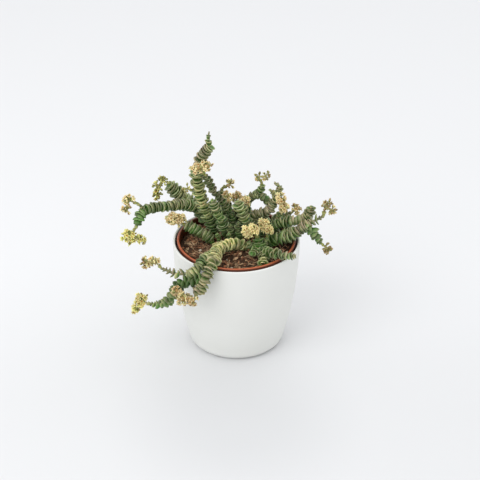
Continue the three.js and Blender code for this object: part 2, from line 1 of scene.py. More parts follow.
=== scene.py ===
# Potted jade necklace crassula: the looks of the plant, its potting mix and its two pots.
# Shapes are worked out in millimetres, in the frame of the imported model, and become metres when a
# piece is finished.
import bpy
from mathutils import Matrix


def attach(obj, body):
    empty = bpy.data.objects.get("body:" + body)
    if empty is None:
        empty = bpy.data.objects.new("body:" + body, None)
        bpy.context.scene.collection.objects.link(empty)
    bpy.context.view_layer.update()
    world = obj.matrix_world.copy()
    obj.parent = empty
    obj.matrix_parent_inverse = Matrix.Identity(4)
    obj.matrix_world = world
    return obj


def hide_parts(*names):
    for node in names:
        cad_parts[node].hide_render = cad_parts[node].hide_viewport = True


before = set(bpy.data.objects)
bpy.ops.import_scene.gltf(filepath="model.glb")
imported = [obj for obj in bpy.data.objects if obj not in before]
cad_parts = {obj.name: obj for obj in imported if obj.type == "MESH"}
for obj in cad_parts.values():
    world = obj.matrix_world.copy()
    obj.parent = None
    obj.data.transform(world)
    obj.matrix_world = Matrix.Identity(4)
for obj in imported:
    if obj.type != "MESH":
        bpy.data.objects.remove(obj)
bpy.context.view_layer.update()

import math
import bpy
import numpy as np
from mathutils import Vector

mm = 0.001
turn = 2 * math.pi


# Directions, rings and closed shells

# Vectors brought to length 1, along the last axis of the array
def unit(v):
    tiny = 1e-12
    return v / np.maximum(np.linalg.norm(v, axis=-1, keepdims=True), tiny)


# Two directions square to each axis and to each other, right-handed with it
def crossDirections(axis):
    steep = 0.9  # an axis that is nearly upright gets a level helper
    helper = np.where(np.abs(axis[..., 2:]) < steep, [0.0, 0.0, 1.0], [1.0, 0.0, 0.0])
    across = unit(np.cross(helper, axis))
    return across, np.cross(axis, across)


# Side directions rolled about their axis by an angle
def rolled(across, aside, angle):
    cosine, sine = np.cos(angle), np.sin(angle)
    return across * cosine + aside * sine, aside * cosine - across * sine


# Angles of points spaced evenly round a circle
def roundAngles(columns):
    return np.arange(columns) * turn / columns


# Circles of radius 1, one for each pair of side directions: across cos(angle) + aside sin(angle)
def ringsOn(across, aside, angle):
    return (across[:, None] * np.cos(angle)[None, :, None]
            + aside[:, None] * np.sin(angle)[None, :, None])


# A ball of radius 1, from its lowest to its highest point: (sin p cos a, sin p sin a, -cos p)
def ballShape(rows, columns):
    polar = np.linspace(0, math.pi, rows)[:, None]
    angle = roundAngles(columns)
    return np.stack([np.sin(polar) * np.cos(angle), np.sin(polar) * np.sin(angle),
                     -np.cos(polar) * np.ones(columns)], -1)


# A piece gathers closed shells. tone holds four weights of the material's tints, and shade a
# brightness.
def newPiece():
    return {"points": [], "tone": [], "shade": [], "faces": [], "size": 0}


# A shell is a grid of points. Its rows run from pole to pole and its columns once round,
# anticlockwise seen from the last pole. The first and the last row become one point each, so every
# shell is closed.
def addShells(piece, grid, tone=(0, 0, 0, 0), shade=0.5):
    count, rows, columns = grid.shape[:3]

    def unfold(values):
        width = values.shape[-1]
        first, last = values[:, :1].mean(2), values[:, -1:].mean(2)
        middle = values[:, 1:-1].reshape(count, -1, width)
        return np.concatenate([first, middle, last], 1).reshape(-1, width)

    piece["points"].append(unfold(grid))
    piece["tone"].append(unfold(np.broadcast_to(tone, (count, rows, columns, 4))))
    shades = np.broadcast_to(np.asarray(shade, float)[..., None], (count, rows, columns, 1))
    piece["shade"].append(unfold(shades))
    # the points of a shell are numbered from the first pole over the rings to the last pole
    rings = rows - 2
    index = 1 + np.arange(rings * columns).reshape(rings, columns)
    after = np.roll(index, -1, axis=1)
    lastPole = rings * columns + 1
    wall = np.stack([index[:-1], after[:-1], after[1:], index[1:]], -1).reshape(-1, 4)
    low = np.stack([np.zeros(columns, int), after[0], index[0]], -1)
    high = np.stack([np.full(columns, lastPole), index[-1], after[-1]], -1)
    starts = piece["size"] + (lastPole + 1) * np.arange(count)[:, None, None]
    for faces in (wall, low, high):
        piece["faces"] += (faces + starts).reshape(-1, faces.shape[-1]).tolist()
    piece["size"] += (lastPole + 1) * count


# The piece as an object that rides on the plant's body and stands for one node
def finishPiece(piece, name, material, node, smooth=True):
    mesh = bpy.data.meshes.new(name)
    points = np.concatenate(piece["points"]) * mm
    mesh.from_pydata(points.tolist(), [], piece["faces"])
    for key, kind, field in (("tone", "FLOAT_COLOR", "color"), ("shade", "FLOAT", "value")):
        values = np.clip(np.concatenate(piece[key]), 0, 1).astype(np.float32)
        mesh.attributes.new(key, kind, "POINT").data.foreach_set(field, values.ravel())
    mesh.polygons.foreach_set("use_smooth", [smooth] * len(mesh.polygons))
    mesh.materials.append(material)
    mesh.update()
    built = bpy.data.objects.new(name, mesh)
    bpy.context.scene.collection.objects.link(built)
    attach(built, "root")
    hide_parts(node)
    return built


# Smooth line through the points of a route: each span is a cubic, and its end slopes come from the
# square roots of the distances between neighbouring points. Returns points and their distances
# along the line.
def smoothLine(route):
    steps = 24  # points on each span
    p = np.array(route, float)
    p = np.vstack([2 * p[0] - p[1], p, 2 * p[-1] - p[-2]])
    gap = np.sqrt(np.linalg.norm(np.diff(p, axis=0), axis=1))[:, None]
    a, b, c = gap[:-2], gap[1:-1], gap[2:]
    p0, p1, p2, p3 = p[:-3], p[1:-2], p[2:-1], p[3:]
    slope1 = ((p1 - p0) / a - (p2 - p0) / (a + b) + (p2 - p1) / b) * b
    slope2 = ((p2 - p1) / b - (p3 - p1) / (b + c) + (p3 - p2) / c) * b
    t = np.linspace(0, 1, steps, endpoint=False)[None, :, None]
    spans = ((2 * t**3 - 3 * t**2 + 1) * p1[:, None] + (t**3 - 2 * t**2 + t) * slope1[:, None]
             + (3 * t**2 - 2 * t**3) * p2[:, None] + (t**3 - t**2) * slope2[:, None])
    line = np.vstack([spans.reshape(-1, 3), p[-2]])
    lengths = np.linalg.norm(np.diff(line, axis=0), axis=1)
    return line, np.concatenate([[0], np.cumsum(lengths)])


# Places, directions and two side directions at distances along a line. The side directions follow
# the line's bends and never turn about it.
def stationsOn(line, along, distances):
    def at(d):
        return np.stack([np.interp(d, along, line[:, k]) for k in range(3)], -1)

    near = 0.4  # the direction is read this far before and after each place
    ahead, behind = np.minimum(distances + near, along[-1]), np.maximum(distances - near, 0)
    axis = unit(at(ahead) - at(behind))
    least = np.eye(3)[np.argmin(np.abs(axis[0]))]
    side = unit(np.cross(axis[0], np.cross(axis[0], least)))
    sides = [side]
    for direction in axis[1:]:
        side = unit(side - direction * np.dot(side, direction))
        sides.append(side)
    sides = np.array(sides)
    return at(distances), axis, sides, np.cross(axis, sides)


# A closed tube along stations: at each a circle of the given radius, its ends pinched to a point
def tube(centres, across, aside, radius):
    columns = 8
    ring = ringsOn(across, aside, roundAngles(columns))
    ends = [np.repeat(centres[k][None, None], columns, 1) for k in (0, -1)]
    return np.concatenate([ends[0], centres[:, None] + ring * radius[:, None, None], ends[1]])[None]


# Materials

plasticFinish = {
    "ior": 1.46,
    "patchDetail": 4,
    "patchEdges": (0.35, 0.7),  # of the noise, from the one colour to the other
    "grainDetail": 2,
    "shades": (0.2, 1),  # brightness where the piece's shade is 0 and where it is 1
}
tonedFinish = {
    "ior": 1.4,
    "detail": 3,
    "fineRoughness": 0.65,
    "fleckEdges": (0.5, 0.72),
    "breakEdges": (0.25, 0.75),
}


# Sockets that are the same all over a surface are set on the shader itself
def newMaterial(name, **constants):
    material = bpy.data.materials.new(name)
    material.use_nodes = True
    shader = material.node_tree.nodes["Principled BSDF"]
    for key, value in constants.items():
        shader.inputs[key.replace("_", " ")].default_value = value
    return material, material.node_tree, shader


# Layered noise on object coordinates
def noiseOn(tree, scale, detail, roughness=0.5):
    place = tree.nodes.new("ShaderNodeTexCoord")
    noise = tree.nodes.new("ShaderNodeTexNoise")
    for socket, number in (("Scale", scale), ("Detail", detail), ("Roughness", roughness)):
        noise.inputs[socket].default_value = number
    tree.links.new(place.outputs["Object"], noise.inputs["Vector"])
    return noise.outputs["Fac"]


# A value brought from one range smoothly into another
def ranged(tree, value, low, high, outLow=0.0, outHigh=1.0):
    node = tree.nodes.new("ShaderNodeMapRange")
    node.interpolation_type = "SMOOTHSTEP"
    limits = {"From Min": low, "From Max": high, "To Min": outLow, "To Max": outHigh}
    for socket, number in limits.items():
        node.inputs[socket].default_value = number
    tree.links.new(value, node.inputs["Value"])
    return node.outputs["Result"]


# The product of two values, kept between 0 and 1
def times(tree, a, b):
    node = tree.nodes.new("ShaderNodeMath")
    node.operation = "MULTIPLY"
    node.use_clamp = True
    tree.links.new(a, node.inputs[0])
    tree.links.new(b, node.inputs[1])
    return node.outputs["Value"]


# One colour laid over another by a weight. Each colour is plain or comes out of a node.
def laid(tree, under, colour, weight):
    node = tree.nodes.new("ShaderNodeMix")
    node.data_type = "RGBA"
    tree.links.new(weight, node.inputs["Factor"])
    for value, socket in ((under, node.inputs[6]), (colour, node.inputs[7])):  # its two colours
        if isinstance(value, tuple):
            socket.default_value = (*value, 1)
        else:
            tree.links.new(value, socket)
    return node.outputs[2]  # the mixed colour


# Brightness of a colour between two factors, by the piece's shade
def shaded(tree, colour, low, high):
    shade = tree.nodes.new("ShaderNodeAttribute")
    shade.attribute_name = "shade"
    adjust = tree.nodes.new("ShaderNodeHueSaturation")
    tree.links.new(ranged(tree, shade.outputs["Fac"], 0, 1, low, high), adjust.inputs["Value"])
    tree.links.new(colour, adjust.inputs["Color"])
    return adjust.outputs["Color"]


# The four weights of the piece's tone
def toneWeights(tree):
    tone = tree.nodes.new("ShaderNodeAttribute")
    tone.attribute_name = "tone"
    split = tree.nodes.new("ShaderNodeSeparateColor")
    tree.links.new(tone.outputs["Color"], split.inputs["Color"])
    return [split.outputs[part] for part in ("Red", "Green", "Blue")] + [tone.outputs["Alpha"]]


# Fine relief in the shading, from a height
def bumped(tree, shader, height, distance):
    bump = tree.nodes.new("ShaderNodeBump")
    bump.inputs["Distance"].default_value = distance
    tree.links.new(height, bump.inputs["Height"])
    tree.links.new(bump.outputs["Normal"], shader.inputs["Normal"])


# Plain smooth plastic, with faint mottling and fine texture, and darker where the shade is low
def plasticMaterial(name, look):
    finish = plasticFinish
    material, tree, shader = newMaterial(name, Roughness=look["roughness"], IOR=finish["ior"])
    patches = noiseOn(tree, look["patchScale"], finish["patchDetail"])
    weight = ranged(tree, patches, *finish["patchEdges"])
    colour = laid(tree, look["colour"], look["patch"], weight)
    tree.links.new(shaded(tree, colour, *finish["shades"]), shader.inputs["Base Color"])
    grain = noiseOn(tree, look["grainScale"], finish["grainDetail"])
    bumped(tree, shader, grain, look["grain"] * mm)
    return material


# Tints laid over one another by the four weights of tone, each broken up by noise
def tonedMaterial(name, look):
    finish = tonedFinish
    material, tree, shader = newMaterial(name, Roughness=look["roughness"], IOR=finish["ior"],
                                         Subsurface_Weight=look["subsurface"],
                                         Subsurface_Scale=look["depth"] * mm)
    broad = noiseOn(tree, look["broadScale"], finish["detail"])
    fine = noiseOn(tree, look["fineScale"], finish["detail"], finish["fineRoughness"])
    flecks = ranged(tree, fine, *finish["fleckEdges"], 0, look["fleckWeight"])
    colour = laid(tree, look["base"], look["fleck"], flecks)
    for weight, tint, breaks in zip(toneWeights(tree), look["tints"], look["breaks"]):
        broken = times(tree, weight, ranged(tree, broad, *finish["breakEdges"], *breaks))
        colour = laid(tree, colour, tint, broken)
    tree.links.new(shaded(tree, colour, *look["shades"]), shader.inputs["Base Color"])
    bumped(tree, shader, fine, look["grain"] * mm)
    return material


# Camera, light and floor

view = {
    "target": (3.64, 0, 113.9),
    "distance": 1300,
    "elevation": 30.71,
    "frameWidth": 480,  # what the picture spans at the target
    "sensor": 36,
}
light = {
    "sky": (0.985, 0.992, 1.0),
    "skyStrength": 1.03,
    "lamps": (  # place, size across, power in watts
        ((-900, -900, 1300), 1300, 9.5),
        ((600, 500, 1600), 1300, 1.6),
    ),
}
floor = {
    "reach": 6000,
    "roughness": 0.8,
    "colour": (0.768, 0.773, 0.785),
    "near": (0.71, 0.715, 0.725),  # painted shade: its colour towards the front
    "paintedShadeEdges": (-160, 180),  # all of that colour at the first y, and none of it at the second
    "front": (0.645, 0.65, 0.66),  # painted shadow of the pot: its colour right before the pot
    "paintedShadowPlace": (0, -150, 0),
    "paintedShadowEdges": (20, 140),  # distances from that place, as for the near colour
}


def buildCamera():
    scene = bpy.context.scene
    scene.view_settings.view_transform = "Standard"
    rise = math.radians(view["elevation"])
    camera = bpy.data.objects.new("camera", bpy.data.cameras.new("camera"))
    back = Vector((0, -math.cos(rise), math.sin(rise)))
    camera.location = Vector(view["target"]) * mm + back * view["distance"] * mm
    camera.rotation_euler = (math.pi / 2 - rise, 0, 0)
    camera.data.sensor_width = view["sensor"]
    camera.data.lens = view["sensor"] * view["distance"] / view["frameWidth"]
    scene.collection.objects.link(camera)
    scene.camera = camera
    print("camera")


def buildLight():
    scene = bpy.context.scene
    world = bpy.data.worlds.new("sky")
    world.use_nodes = True
    background = world.node_tree.nodes["Background"]
    background.inputs["Color"].default_value = (*light["sky"], 1)
    background.inputs["Strength"].default_value = light["skyStrength"]
    scene.world = world
    target = Vector(view["target"]) * mm
    for number, (place, size, power) in enumerate(light["lamps"]):
        lamp = bpy.data.lights.new(f"lamp{number}", "AREA")
        lamp.shape = "DISK"
        lamp.size = size * mm
        lamp.energy = power
        carrier = bpy.data.objects.new(f"lamp{number}", lamp)
        carrier.location = Vector(place) * mm
        aim = target - carrier.location
        carrier.rotation_euler = aim.to_track_quat("-Z", "Y").to_euler()
        scene.collection.objects.link(carrier)
    print("sky and lamps:", len(light["lamps"]))


def buildFloor():
    reach = floor["reach"] * mm
    corners = [(-reach, -reach, 0), (reach, -reach, 0), (reach, reach, 0), (-reach, reach, 0)]
    sheet = bpy.data.meshes.new("floor")
    sheet.from_pydata(corners, [], [(0, 1, 2, 3)])
    material, tree, shader = newMaterial("pale floor", Roughness=floor["roughness"])
    place = tree.nodes.new("ShaderNodeTexCoord")
    split = tree.nodes.new("ShaderNodeSeparateXYZ")
    tree.links.new(place.outputs["Object"], split.inputs["Vector"])
    away = tree.nodes.new("ShaderNodeVectorMath")
    away.operation = "DISTANCE"
    away.inputs[1].default_value = [value * mm for value in floor["paintedShadowPlace"]]
    tree.links.new(place.outputs["Object"], away.inputs[0])
    paintedShadeEdges, paintedShadowEdges = [[value * mm for value in floor[key]]
                             for key in ("paintedShadeEdges", "paintedShadowEdges")]
    # painted shade: the floor darkens towards the front
    near = ranged(tree, split.outputs["Y"], *paintedShadeEdges, 1, 0)
    # painted shadow of the pot on the floor right before it
    front = ranged(tree, away.outputs["Value"], *paintedShadowEdges, 1, 0)
    colour = laid(tree, floor["colour"], floor["near"], near)
    tree.links.new(laid(tree, colour, floor["front"], front), shader.inputs["Base Color"])
    sheet.materials.append(material)
    built = bpy.data.objects.new("floor", sheet)
    bpy.context.scene.collection.objects.link(built)
    print("floor")


# The two pots

coverPot = {
    "height": 115,
    "rimRadius": 63.5,
    "midRadius": 59.2,
    "footRadius": 47,
    "footRounding": 9,
    "footRows": 8,
    "footRing": 8,  # a ring of points this far inside the rounding keeps the base's shading flat
    "wall": 2.2,
    "floor": 3,
    "lipRounding": 1.0,
    "columns": 144,
    "rows": 26,
    "paintedFootShade": 0.84,  # painted shade: slightly darker at the foot
    "shadeClimb": 280,  # height over which the shade would grow by 1
    "plastic": {
        "colour": (0.755, 0.762, 0.735),
        "patch": (0.745, 0.752, 0.72),
        "patchScale": 14,
        "roughness": 0.42,
        "grainScale": 1400,
        "grain": 0.012,
    },
}
nurseryPot = {
    "lipRadius": 59.5,
    "lipWidth": 2.6,
    "lipRise": 1.2,  # over the cover pot's rim
    "lipDrop": 9,
    "lipRounding": 1.0,
    "lipBevel": 0.4,
    "baseRadius": 40,
    "baseLevel": 3.3,
    "baseBevel": 1,
    "wall": 1.2,
    "floor": 1.6,
    "drainRadius": 4,
    "drainRing": 24,
    "drainCount": 4,
    "drainColumns": 24,
    "drainCut": (-2, 4),  # levels of the cut, from the base
    "paintedShadeDepth": 0.55,  # below the lip's top by more than this, the wall has painted shade
    "paintedShadeFade": 0.45,
    "paintedShadeDarkest": 0.18,
    "paintedLightSide": 0.35,  # how far the lip's most brightly painted part lies to the left of its front, in radians
    # painted shade on the back of the lip, at its darkest
    "paintedBackShade": 0.3,
    "columns": 144,
    "plastic": {
        "colour": (0.50, 0.125, 0.042),
        "patch": (0.42, 0.09, 0.03),
        "patchScale": 90,
        "roughness": 0.42,
        "grainScale": 900,
        "grain": 0.03,
    },
}


# Wall radius of the cover pot at a level: one parabola through foot, middle and rim
def coverRadius(z):
    t = z / coverPot["height"]
    rise = coverPot["rimRadius"] - coverPot["footRadius"]
    bulge = 4 * (coverPot["midRadius"] - coverPot["footRadius"]) - 2 * rise
    return coverPot["footRadius"] + rise * t + bulge * t * (1 - t)


# A profile of (radius, level) points turned once round the upright axis. It starts and ends on it.
def turned(profile, columns):
    profile = np.array(profile, float)
    angle = roundAngles(columns)
    flat = profile[:, None, :1] * np.stack([np.cos(angle), np.sin(angle)], -1)[None]
    return np.concatenate([flat, np.repeat(profile[:, None, 1:], columns, 1)], -1)[None]


# Points on a quarter circle about a centre, from one angle to another, in degrees
def arc(centre, radius, start, stop, steps=6):
    angle = np.radians(np.linspace(start, stop, steps))
    return [(centre[0] + radius * math.cos(a), centre[1] + radius * math.sin(a)) for a in angle]


def buildCoverPot():
    c = coverPot
    r, lip, top, wall = c["footRounding"], c["lipRounding"], c["height"], c["wall"]
    foot = coverRadius(r)
    levels = np.linspace(r, top - lip, c["rows"])[1:-1]
    profile = [(0, 0), (foot - r - c["footRing"], 0)]
    profile += arc((foot - r, r), r, -90, 0, c["footRows"])
    profile += [(coverRadius(z), z) for z in levels]
    profile += arc((c["rimRadius"] - lip, top - lip), lip, 0, 90)
    profile += arc((c["rimRadius"] - wall + lip, top - lip), lip, 90, 180)
    profile += [(coverRadius(z) - wall, z) for z in levels[::-1]]
    profile += [(foot - wall, r), (foot - r, c["floor"]), (0, c["floor"])]
    piece = newPiece()
    # painted shade: the wall grows darker towards the foot
    shade = np.clip(c["paintedFootShade"] + np.array(profile)[:, 1] / c["shadeClimb"], 0, 1)
    addShells(piece, turned(profile, c["columns"]), shade=shade[None, :, None])
    plastic = plasticMaterial("white satin plastic", c["plastic"])
    finishPiece(piece, "cover_pot_shell", plastic, "cachepot")
    print("cover pot")


def buildNurseryPot():
    n = nurseryPot
    lip, radius, base = n["lipRounding"], n["baseRadius"], n["baseLevel"]
    top = coverPot["height"] + n["lipRise"]
    step = coverPot["height"] - n["lipDrop"]
    inner = n["lipRadius"] - n["lipWidth"]
    profile = [(0, base), (radius - n["baseBevel"], base), (radius, base + n["baseBevel"])]
    profile += [(inner + n["wall"], step), (n["lipRadius"] - n["lipBevel"], step + n["lipBevel"])]
    profile += arc((n["lipRadius"] - lip, top - lip), lip, 0, 90)
    profile += arc((inner + lip, top - lip), lip, 90, 180)
    profile += [(inner, step), (radius - n["wall"], base + n["floor"]), (0, base + n["floor"])]
    piece = newPiece()
    # painted light and shade: the top of the lip is painted bright, most of all on its front, and
    # its walls and its back have painted shade
    height = np.array(profile)[:, 1] - top + n["paintedShadeDepth"]
    shade = np.clip(height / n["paintedShadeFade"], n["paintedShadeDarkest"], 1)
    angle = roundAngles(n["columns"])
    # painted light round the lip: brightest at its front and left, painted shade at its right and
    # back
    paintedLightRound = np.clip(0.5 - 0.5 * np.sin(angle + n["paintedLightSide"]), n["paintedBackShade"], 1)
    addShells(piece, turned(profile, n["columns"]), shade=(shade[:, None] * paintedLightRound)[None])
    plastic = plasticMaterial("red-brown plastic", n["plastic"])
    pot = finishPiece(piece, "nursery_pot_shell", plastic, "nursery_pot")
    pierceDrains(pot)
    print("nursery pot")


# The drain holes are cut into the finished mesh, so that no modifier stays live
def pierceDrains(pot):
    n = nurseryPot
    low, high = [n["baseLevel"] + level for level in n["drainCut"]]
    drain = [(0, low), (n["drainRadius"], low), (n["drainRadius"], high), (0, high)]
    cutter = newPiece()
    for angle in (np.arange(n["drainCount"]) + 0.5) * turn / n["drainCount"]:
        middle = np.array([math.cos(angle), math.sin(angle), 0]) * n["drainRing"]
        addShells(cutter, turned(drain, n["drainColumns"]) + middle)
    cutMesh = bpy.data.meshes.new("drain cutter")
    cutMesh.from_pydata((np.concatenate(cutter["points"]) * mm).tolist(), [], cutter["faces"])
    cutObject = bpy.data.objects.new("drain cutter", cutMesh)
    bpy.context.scene.collection.objects.link(cutObject)
    cut = pot.modifiers.new("drain holes", "BOOLEAN")
    cut.operation = "DIFFERENCE"
    cut.solver = "EXACT"
    cut.object = cutObject
    evaluated = pot.evaluated_get(bpy.context.evaluated_depsgraph_get())
    pierced = bpy.data.meshes.new_from_object(evaluated)
    pot.modifiers.clear()
    pot.data = pierced
    bpy.data.objects.remove(cutObject)


# Potting mix

mix = {
    "seed": 11,
    "level": 106.4,  # at the wall
    "dome": 1.6,
    "reach": 56.2,
    "bottom": 5.4,
    "bottomRadius": 38.1,
    "relief": 0.9,
    "waves": (3.2, 3.7, 5.3, 2.3),  # lengths in x and y, of one set and then of the other
    "waveShift": 1.3,
    "otherWaves": 0.6,  # height of the second set, against the first
    "roll": 1.6,  # how much things on the mix roll, against their tilt
    "rows": 30,
    "columns": 96,
    "tone": (0, 0, 0.55, 0),
    "shade": 0.4,
    "chips": {
        "count": 1250,
        "margin": 2.5,  # kept free at the wall
        "tilt": 0.34,
        "length": (2.2, 9.0),
        "width": (1.0, 3.6),
        "thickness": (0.5, 1.2),
        "lift": (-0.3, 1.5),
        "corners": 6,
        "turned": (-0.3, 0.3),  # each corner's angle off its even place
        "reach": (0.65, 1.15),
        "section": ((0, -1), (1, -0.7), (0.85, 0.7), (0, 1)),  # width and level, from below
        "tan": 0.34,  # the share of the chips up to which they are tan,
        "red": 0.72,  # up to which they are red-brown,
        "black": 0.86,  # and from which they are black
        "weights": ((0.3, 0.95), (0.3, 1), (0.4, 0.9)),  # of the tan, red-brown and black tints
        "otherTint": 0.05,
        "shade": (0.1, 1),
    },
    "fibres": {
        "count": 220,
        "margin": 8,
        "tilt": 0.2,
        "length": (5, 15),
        "bend": (-0.35, 0.35),
        "lift": (0.6, 2.0),
        "clear": 0.3,  # least height of a fibre over the mix
        "radius": 0.28,
        "section": (0.02, 0.8, 1, 1, 0.8, 0.02),  # its radius from end to end
        "columns": 4,
        "tan": (0.2, 1),
        "shade": (0.3, 1),
    },
    "grit": {
        "count": 16,
        "margin": 4,
        "radius": (0.7, 1.5),
        "lumps": (0.8, 1.2),
        "lift": 0.9,  # of its middle, against its radius
        "rows": 6,
        "columns": 7,
        "tone": (0, 0, 0, 0.9),
        "shade": (0.3, 0.8),
    },
    "material": {
        "roughness": 0.9,
        "subsurface": 0.0,
        "depth": 1.0,
        "broadScale": 160,
        "fineScale": 900,
        "base": (0.15, 0.075, 0.036),
        "fleck": (0.035, 0.016, 0.008),
        "fleckWeight": 0.7,
        # tan bark, red-brown bark, black peat and pale grit
        "tints": ((0.62, 0.43, 0.25), (0.36, 0.15, 0.075), (0.014, 0.008, 0.004),
                  (0.74, 0.66, 0.52)),
        "breaks": ((0.6, 1), (0.7, 1), (0.8, 1), (0.9, 1)),
        "shades": (0.4, 1.6),
        "grain": 0.5,
    },
}


# Height of the mix at a place: a low dome and two sets of waves, which fade out over the last
# quarter of the way to the wall
def mixHeight(x, y):
    a, b, c, d = mix["waves"]
    reach = np.hypot(x, y) / mix["reach"]
    first = np.sin(x / a + mix["waveShift"]) * np.cos(y / b)
    waves = first + mix["otherWaves"] * np.sin(x / c - y / d)
    fade = np.clip(4 - 4 * reach, 0, 1)
    return mix["level"] + mix["dome"] * (1 - reach**2) + mix["relief"] * waves * fade


# Random places spread evenly over the mix, with a margin at the wall
def mixPlaces(rng, look):
    angle = rng.uniform(0, turn, look["count"])
    radius = (mix["reach"] - look["margin"]) * np.sqrt(rng.uniform(0, 1, look["count"]))
    return radius * np.cos(angle), radius * np.sin(angle)


# Directions of thin things that lie on the mix: a bearing and a tilt, and a roll about themselves
def lyingFrames(rng, look):
    count, tilt = look["count"], look["tilt"]
    bearing = rng.uniform(0, turn, count)
    rise = rng.normal(0, tilt, count)
    axis = np.stack([np.cos(bearing) * np.cos(rise), np.sin(bearing) * np.cos(rise),
                     np.sin(rise)], -1)
    roll = rng.normal(0, mix["roll"] * tilt, count)[:, None]
    return axis, *rolled(*crossDirections(axis), roll)


# The body of the mix: a flat bottom joined to the waved top
def addGround(piece):
    radii = np.linspace(0, 1, mix["rows"])[::-1] * mix["reach"]
    angle = roundAngles(mix["columns"])
    x = radii[:, None] * np.cos(angle)
    y = radii[:, None] * np.sin(angle)
    top = np.stack([x, y, mixHeight(x, y)], -1)
    below = turned([(0, mix["bottom"]), (mix["bottomRadius"], mix["bottom"])], mix["columns"])[0]
    addShells(piece, np.concatenate([below, top])[None], mix["tone"], mix["shade"])


# Bark chips: flat shards with six uneven corners, each a stack of the same outline by its section
def addChips(piece, rng):
    chip = mix["chips"]
    count, corners = chip["count"], chip["corners"]
    x, y = mixPlaces(rng, chip)
    axis, across, aside = lyingFrames(rng, chip)
    length, width, thick = [rng.uniform(*chip[key], count) / 2
                            for key in ("length", "width", "thickness")]
    centre = np.stack([x, y, mixHeight(x, y) + rng.uniform(*chip["lift"], count)], -1)
    angle = roundAngles(corners) + rng.uniform(*chip["turned"], (count, corners))
    reach = rng.uniform(*chip["reach"], (count, corners))
    wide, level = np.array(chip["section"]).T
    outline = (axis[:, None] * (length[:, None] * np.cos(angle) * reach)[..., None]
               + across[:, None] * (width[:, None] * np.sin(angle) * reach)[..., None])
    grid = (centre[:, None, None] + outline[:, None] * wide[None, :, None, None]
            + (aside * thick[:, None])[:, None, None] * level[None, :, None, None])
    kind = rng.uniform(0, 1, count)
    other = chip["otherTint"]
    isRed = (kind > chip["tan"]) & (kind < chip["red"])
    tan, red, black = [rng.uniform(*weights, count) for weights in chip["weights"]]
    tone = np.zeros((count, 4))
    tone[:, 0] = np.where(kind < chip["tan"], tan, other)
    tone[:, 1] = np.where(isRed, red, other)
    tone[:, 2] = np.where(kind > chip["black"], black, 0)
    shade = rng.uniform(*chip["shade"], count)
    addShells(piece, grid, tone[:, None, None], shade[:, None, None])


# Fibres: thin threads that bend once, by a parabola, and keep above the mix
def addFibres(piece, rng):
    fibre = mix["fibres"]
    count = fibre["count"]
    x, y = mixPlaces(rng, fibre)
    axis, across, aside = lyingFrames(rng, fibre)
    length = rng.uniform(*fibre["length"], count)
    bend = rng.uniform(*fibre["bend"], count) * length
    s = np.linspace(-0.5, 0.5, len(fibre["section"]))
    centre = np.stack([x, y, mixHeight(x, y) + rng.uniform(*fibre["lift"], count)], -1)
    spine = (centre[:, None] + axis[:, None] * (length[:, None] * s)[..., None]
             + across[:, None] * (bend[:, None] * (1 - 4 * s**2))[..., None])
    ground = mixHeight(spine[..., 0], spine[..., 1])
    spine[..., 2] = np.maximum(spine[..., 2], ground + fibre["clear"])
    ring = ringsOn(across, aside, roundAngles(fibre["columns"]))
    radius = fibre["radius"] * np.array(fibre["section"])
    tone = np.zeros((count, 4))
    tone[:, 0] = rng.uniform(*fibre["tan"], count)
    shade = rng.uniform(*fibre["shade"], count)
    addShells(piece, spine[:, :, None] + ring[:, None] * radius[None, :, None, None],
              tone[:, None, None], shade[:, None, None])


# Grit: small lumpy balls
def addGrit(piece, rng):
    grit = mix["grit"]
    count = grit["count"]
    x, y = mixPlaces(rng, grit)
    radius = rng.uniform(*grit["radius"], count)
    lumps = rng.uniform(*grit["lumps"], (count, grit["rows"], grit["columns"], 1))
    grains = ballShape(grit["rows"], grit["columns"])[None] * (radius[:, None, None, None] * lumps)
    centre = np.stack([x, y, mixHeight(x, y) + grit["lift"] * radius], -1)
    shade = rng.uniform(*grit["shade"], count)
    addShells(piece, centre[:, None, None] + grains, grit["tone"], shade[:, None, None])


def buildMix():
    rng = np.random.default_rng(mix["seed"])
    piece = newPiece()
    addGround(piece)
    addChips(piece, rng)
    addFibres(piece, rng)
    addGrit(piece, rng)
    crumb = tonedMaterial("bark and peat", mix["material"])
    finishPiece(piece, "potting_mix_top", crumb, "soil", smooth=False)
    print("potting mix")


# Leafy stems

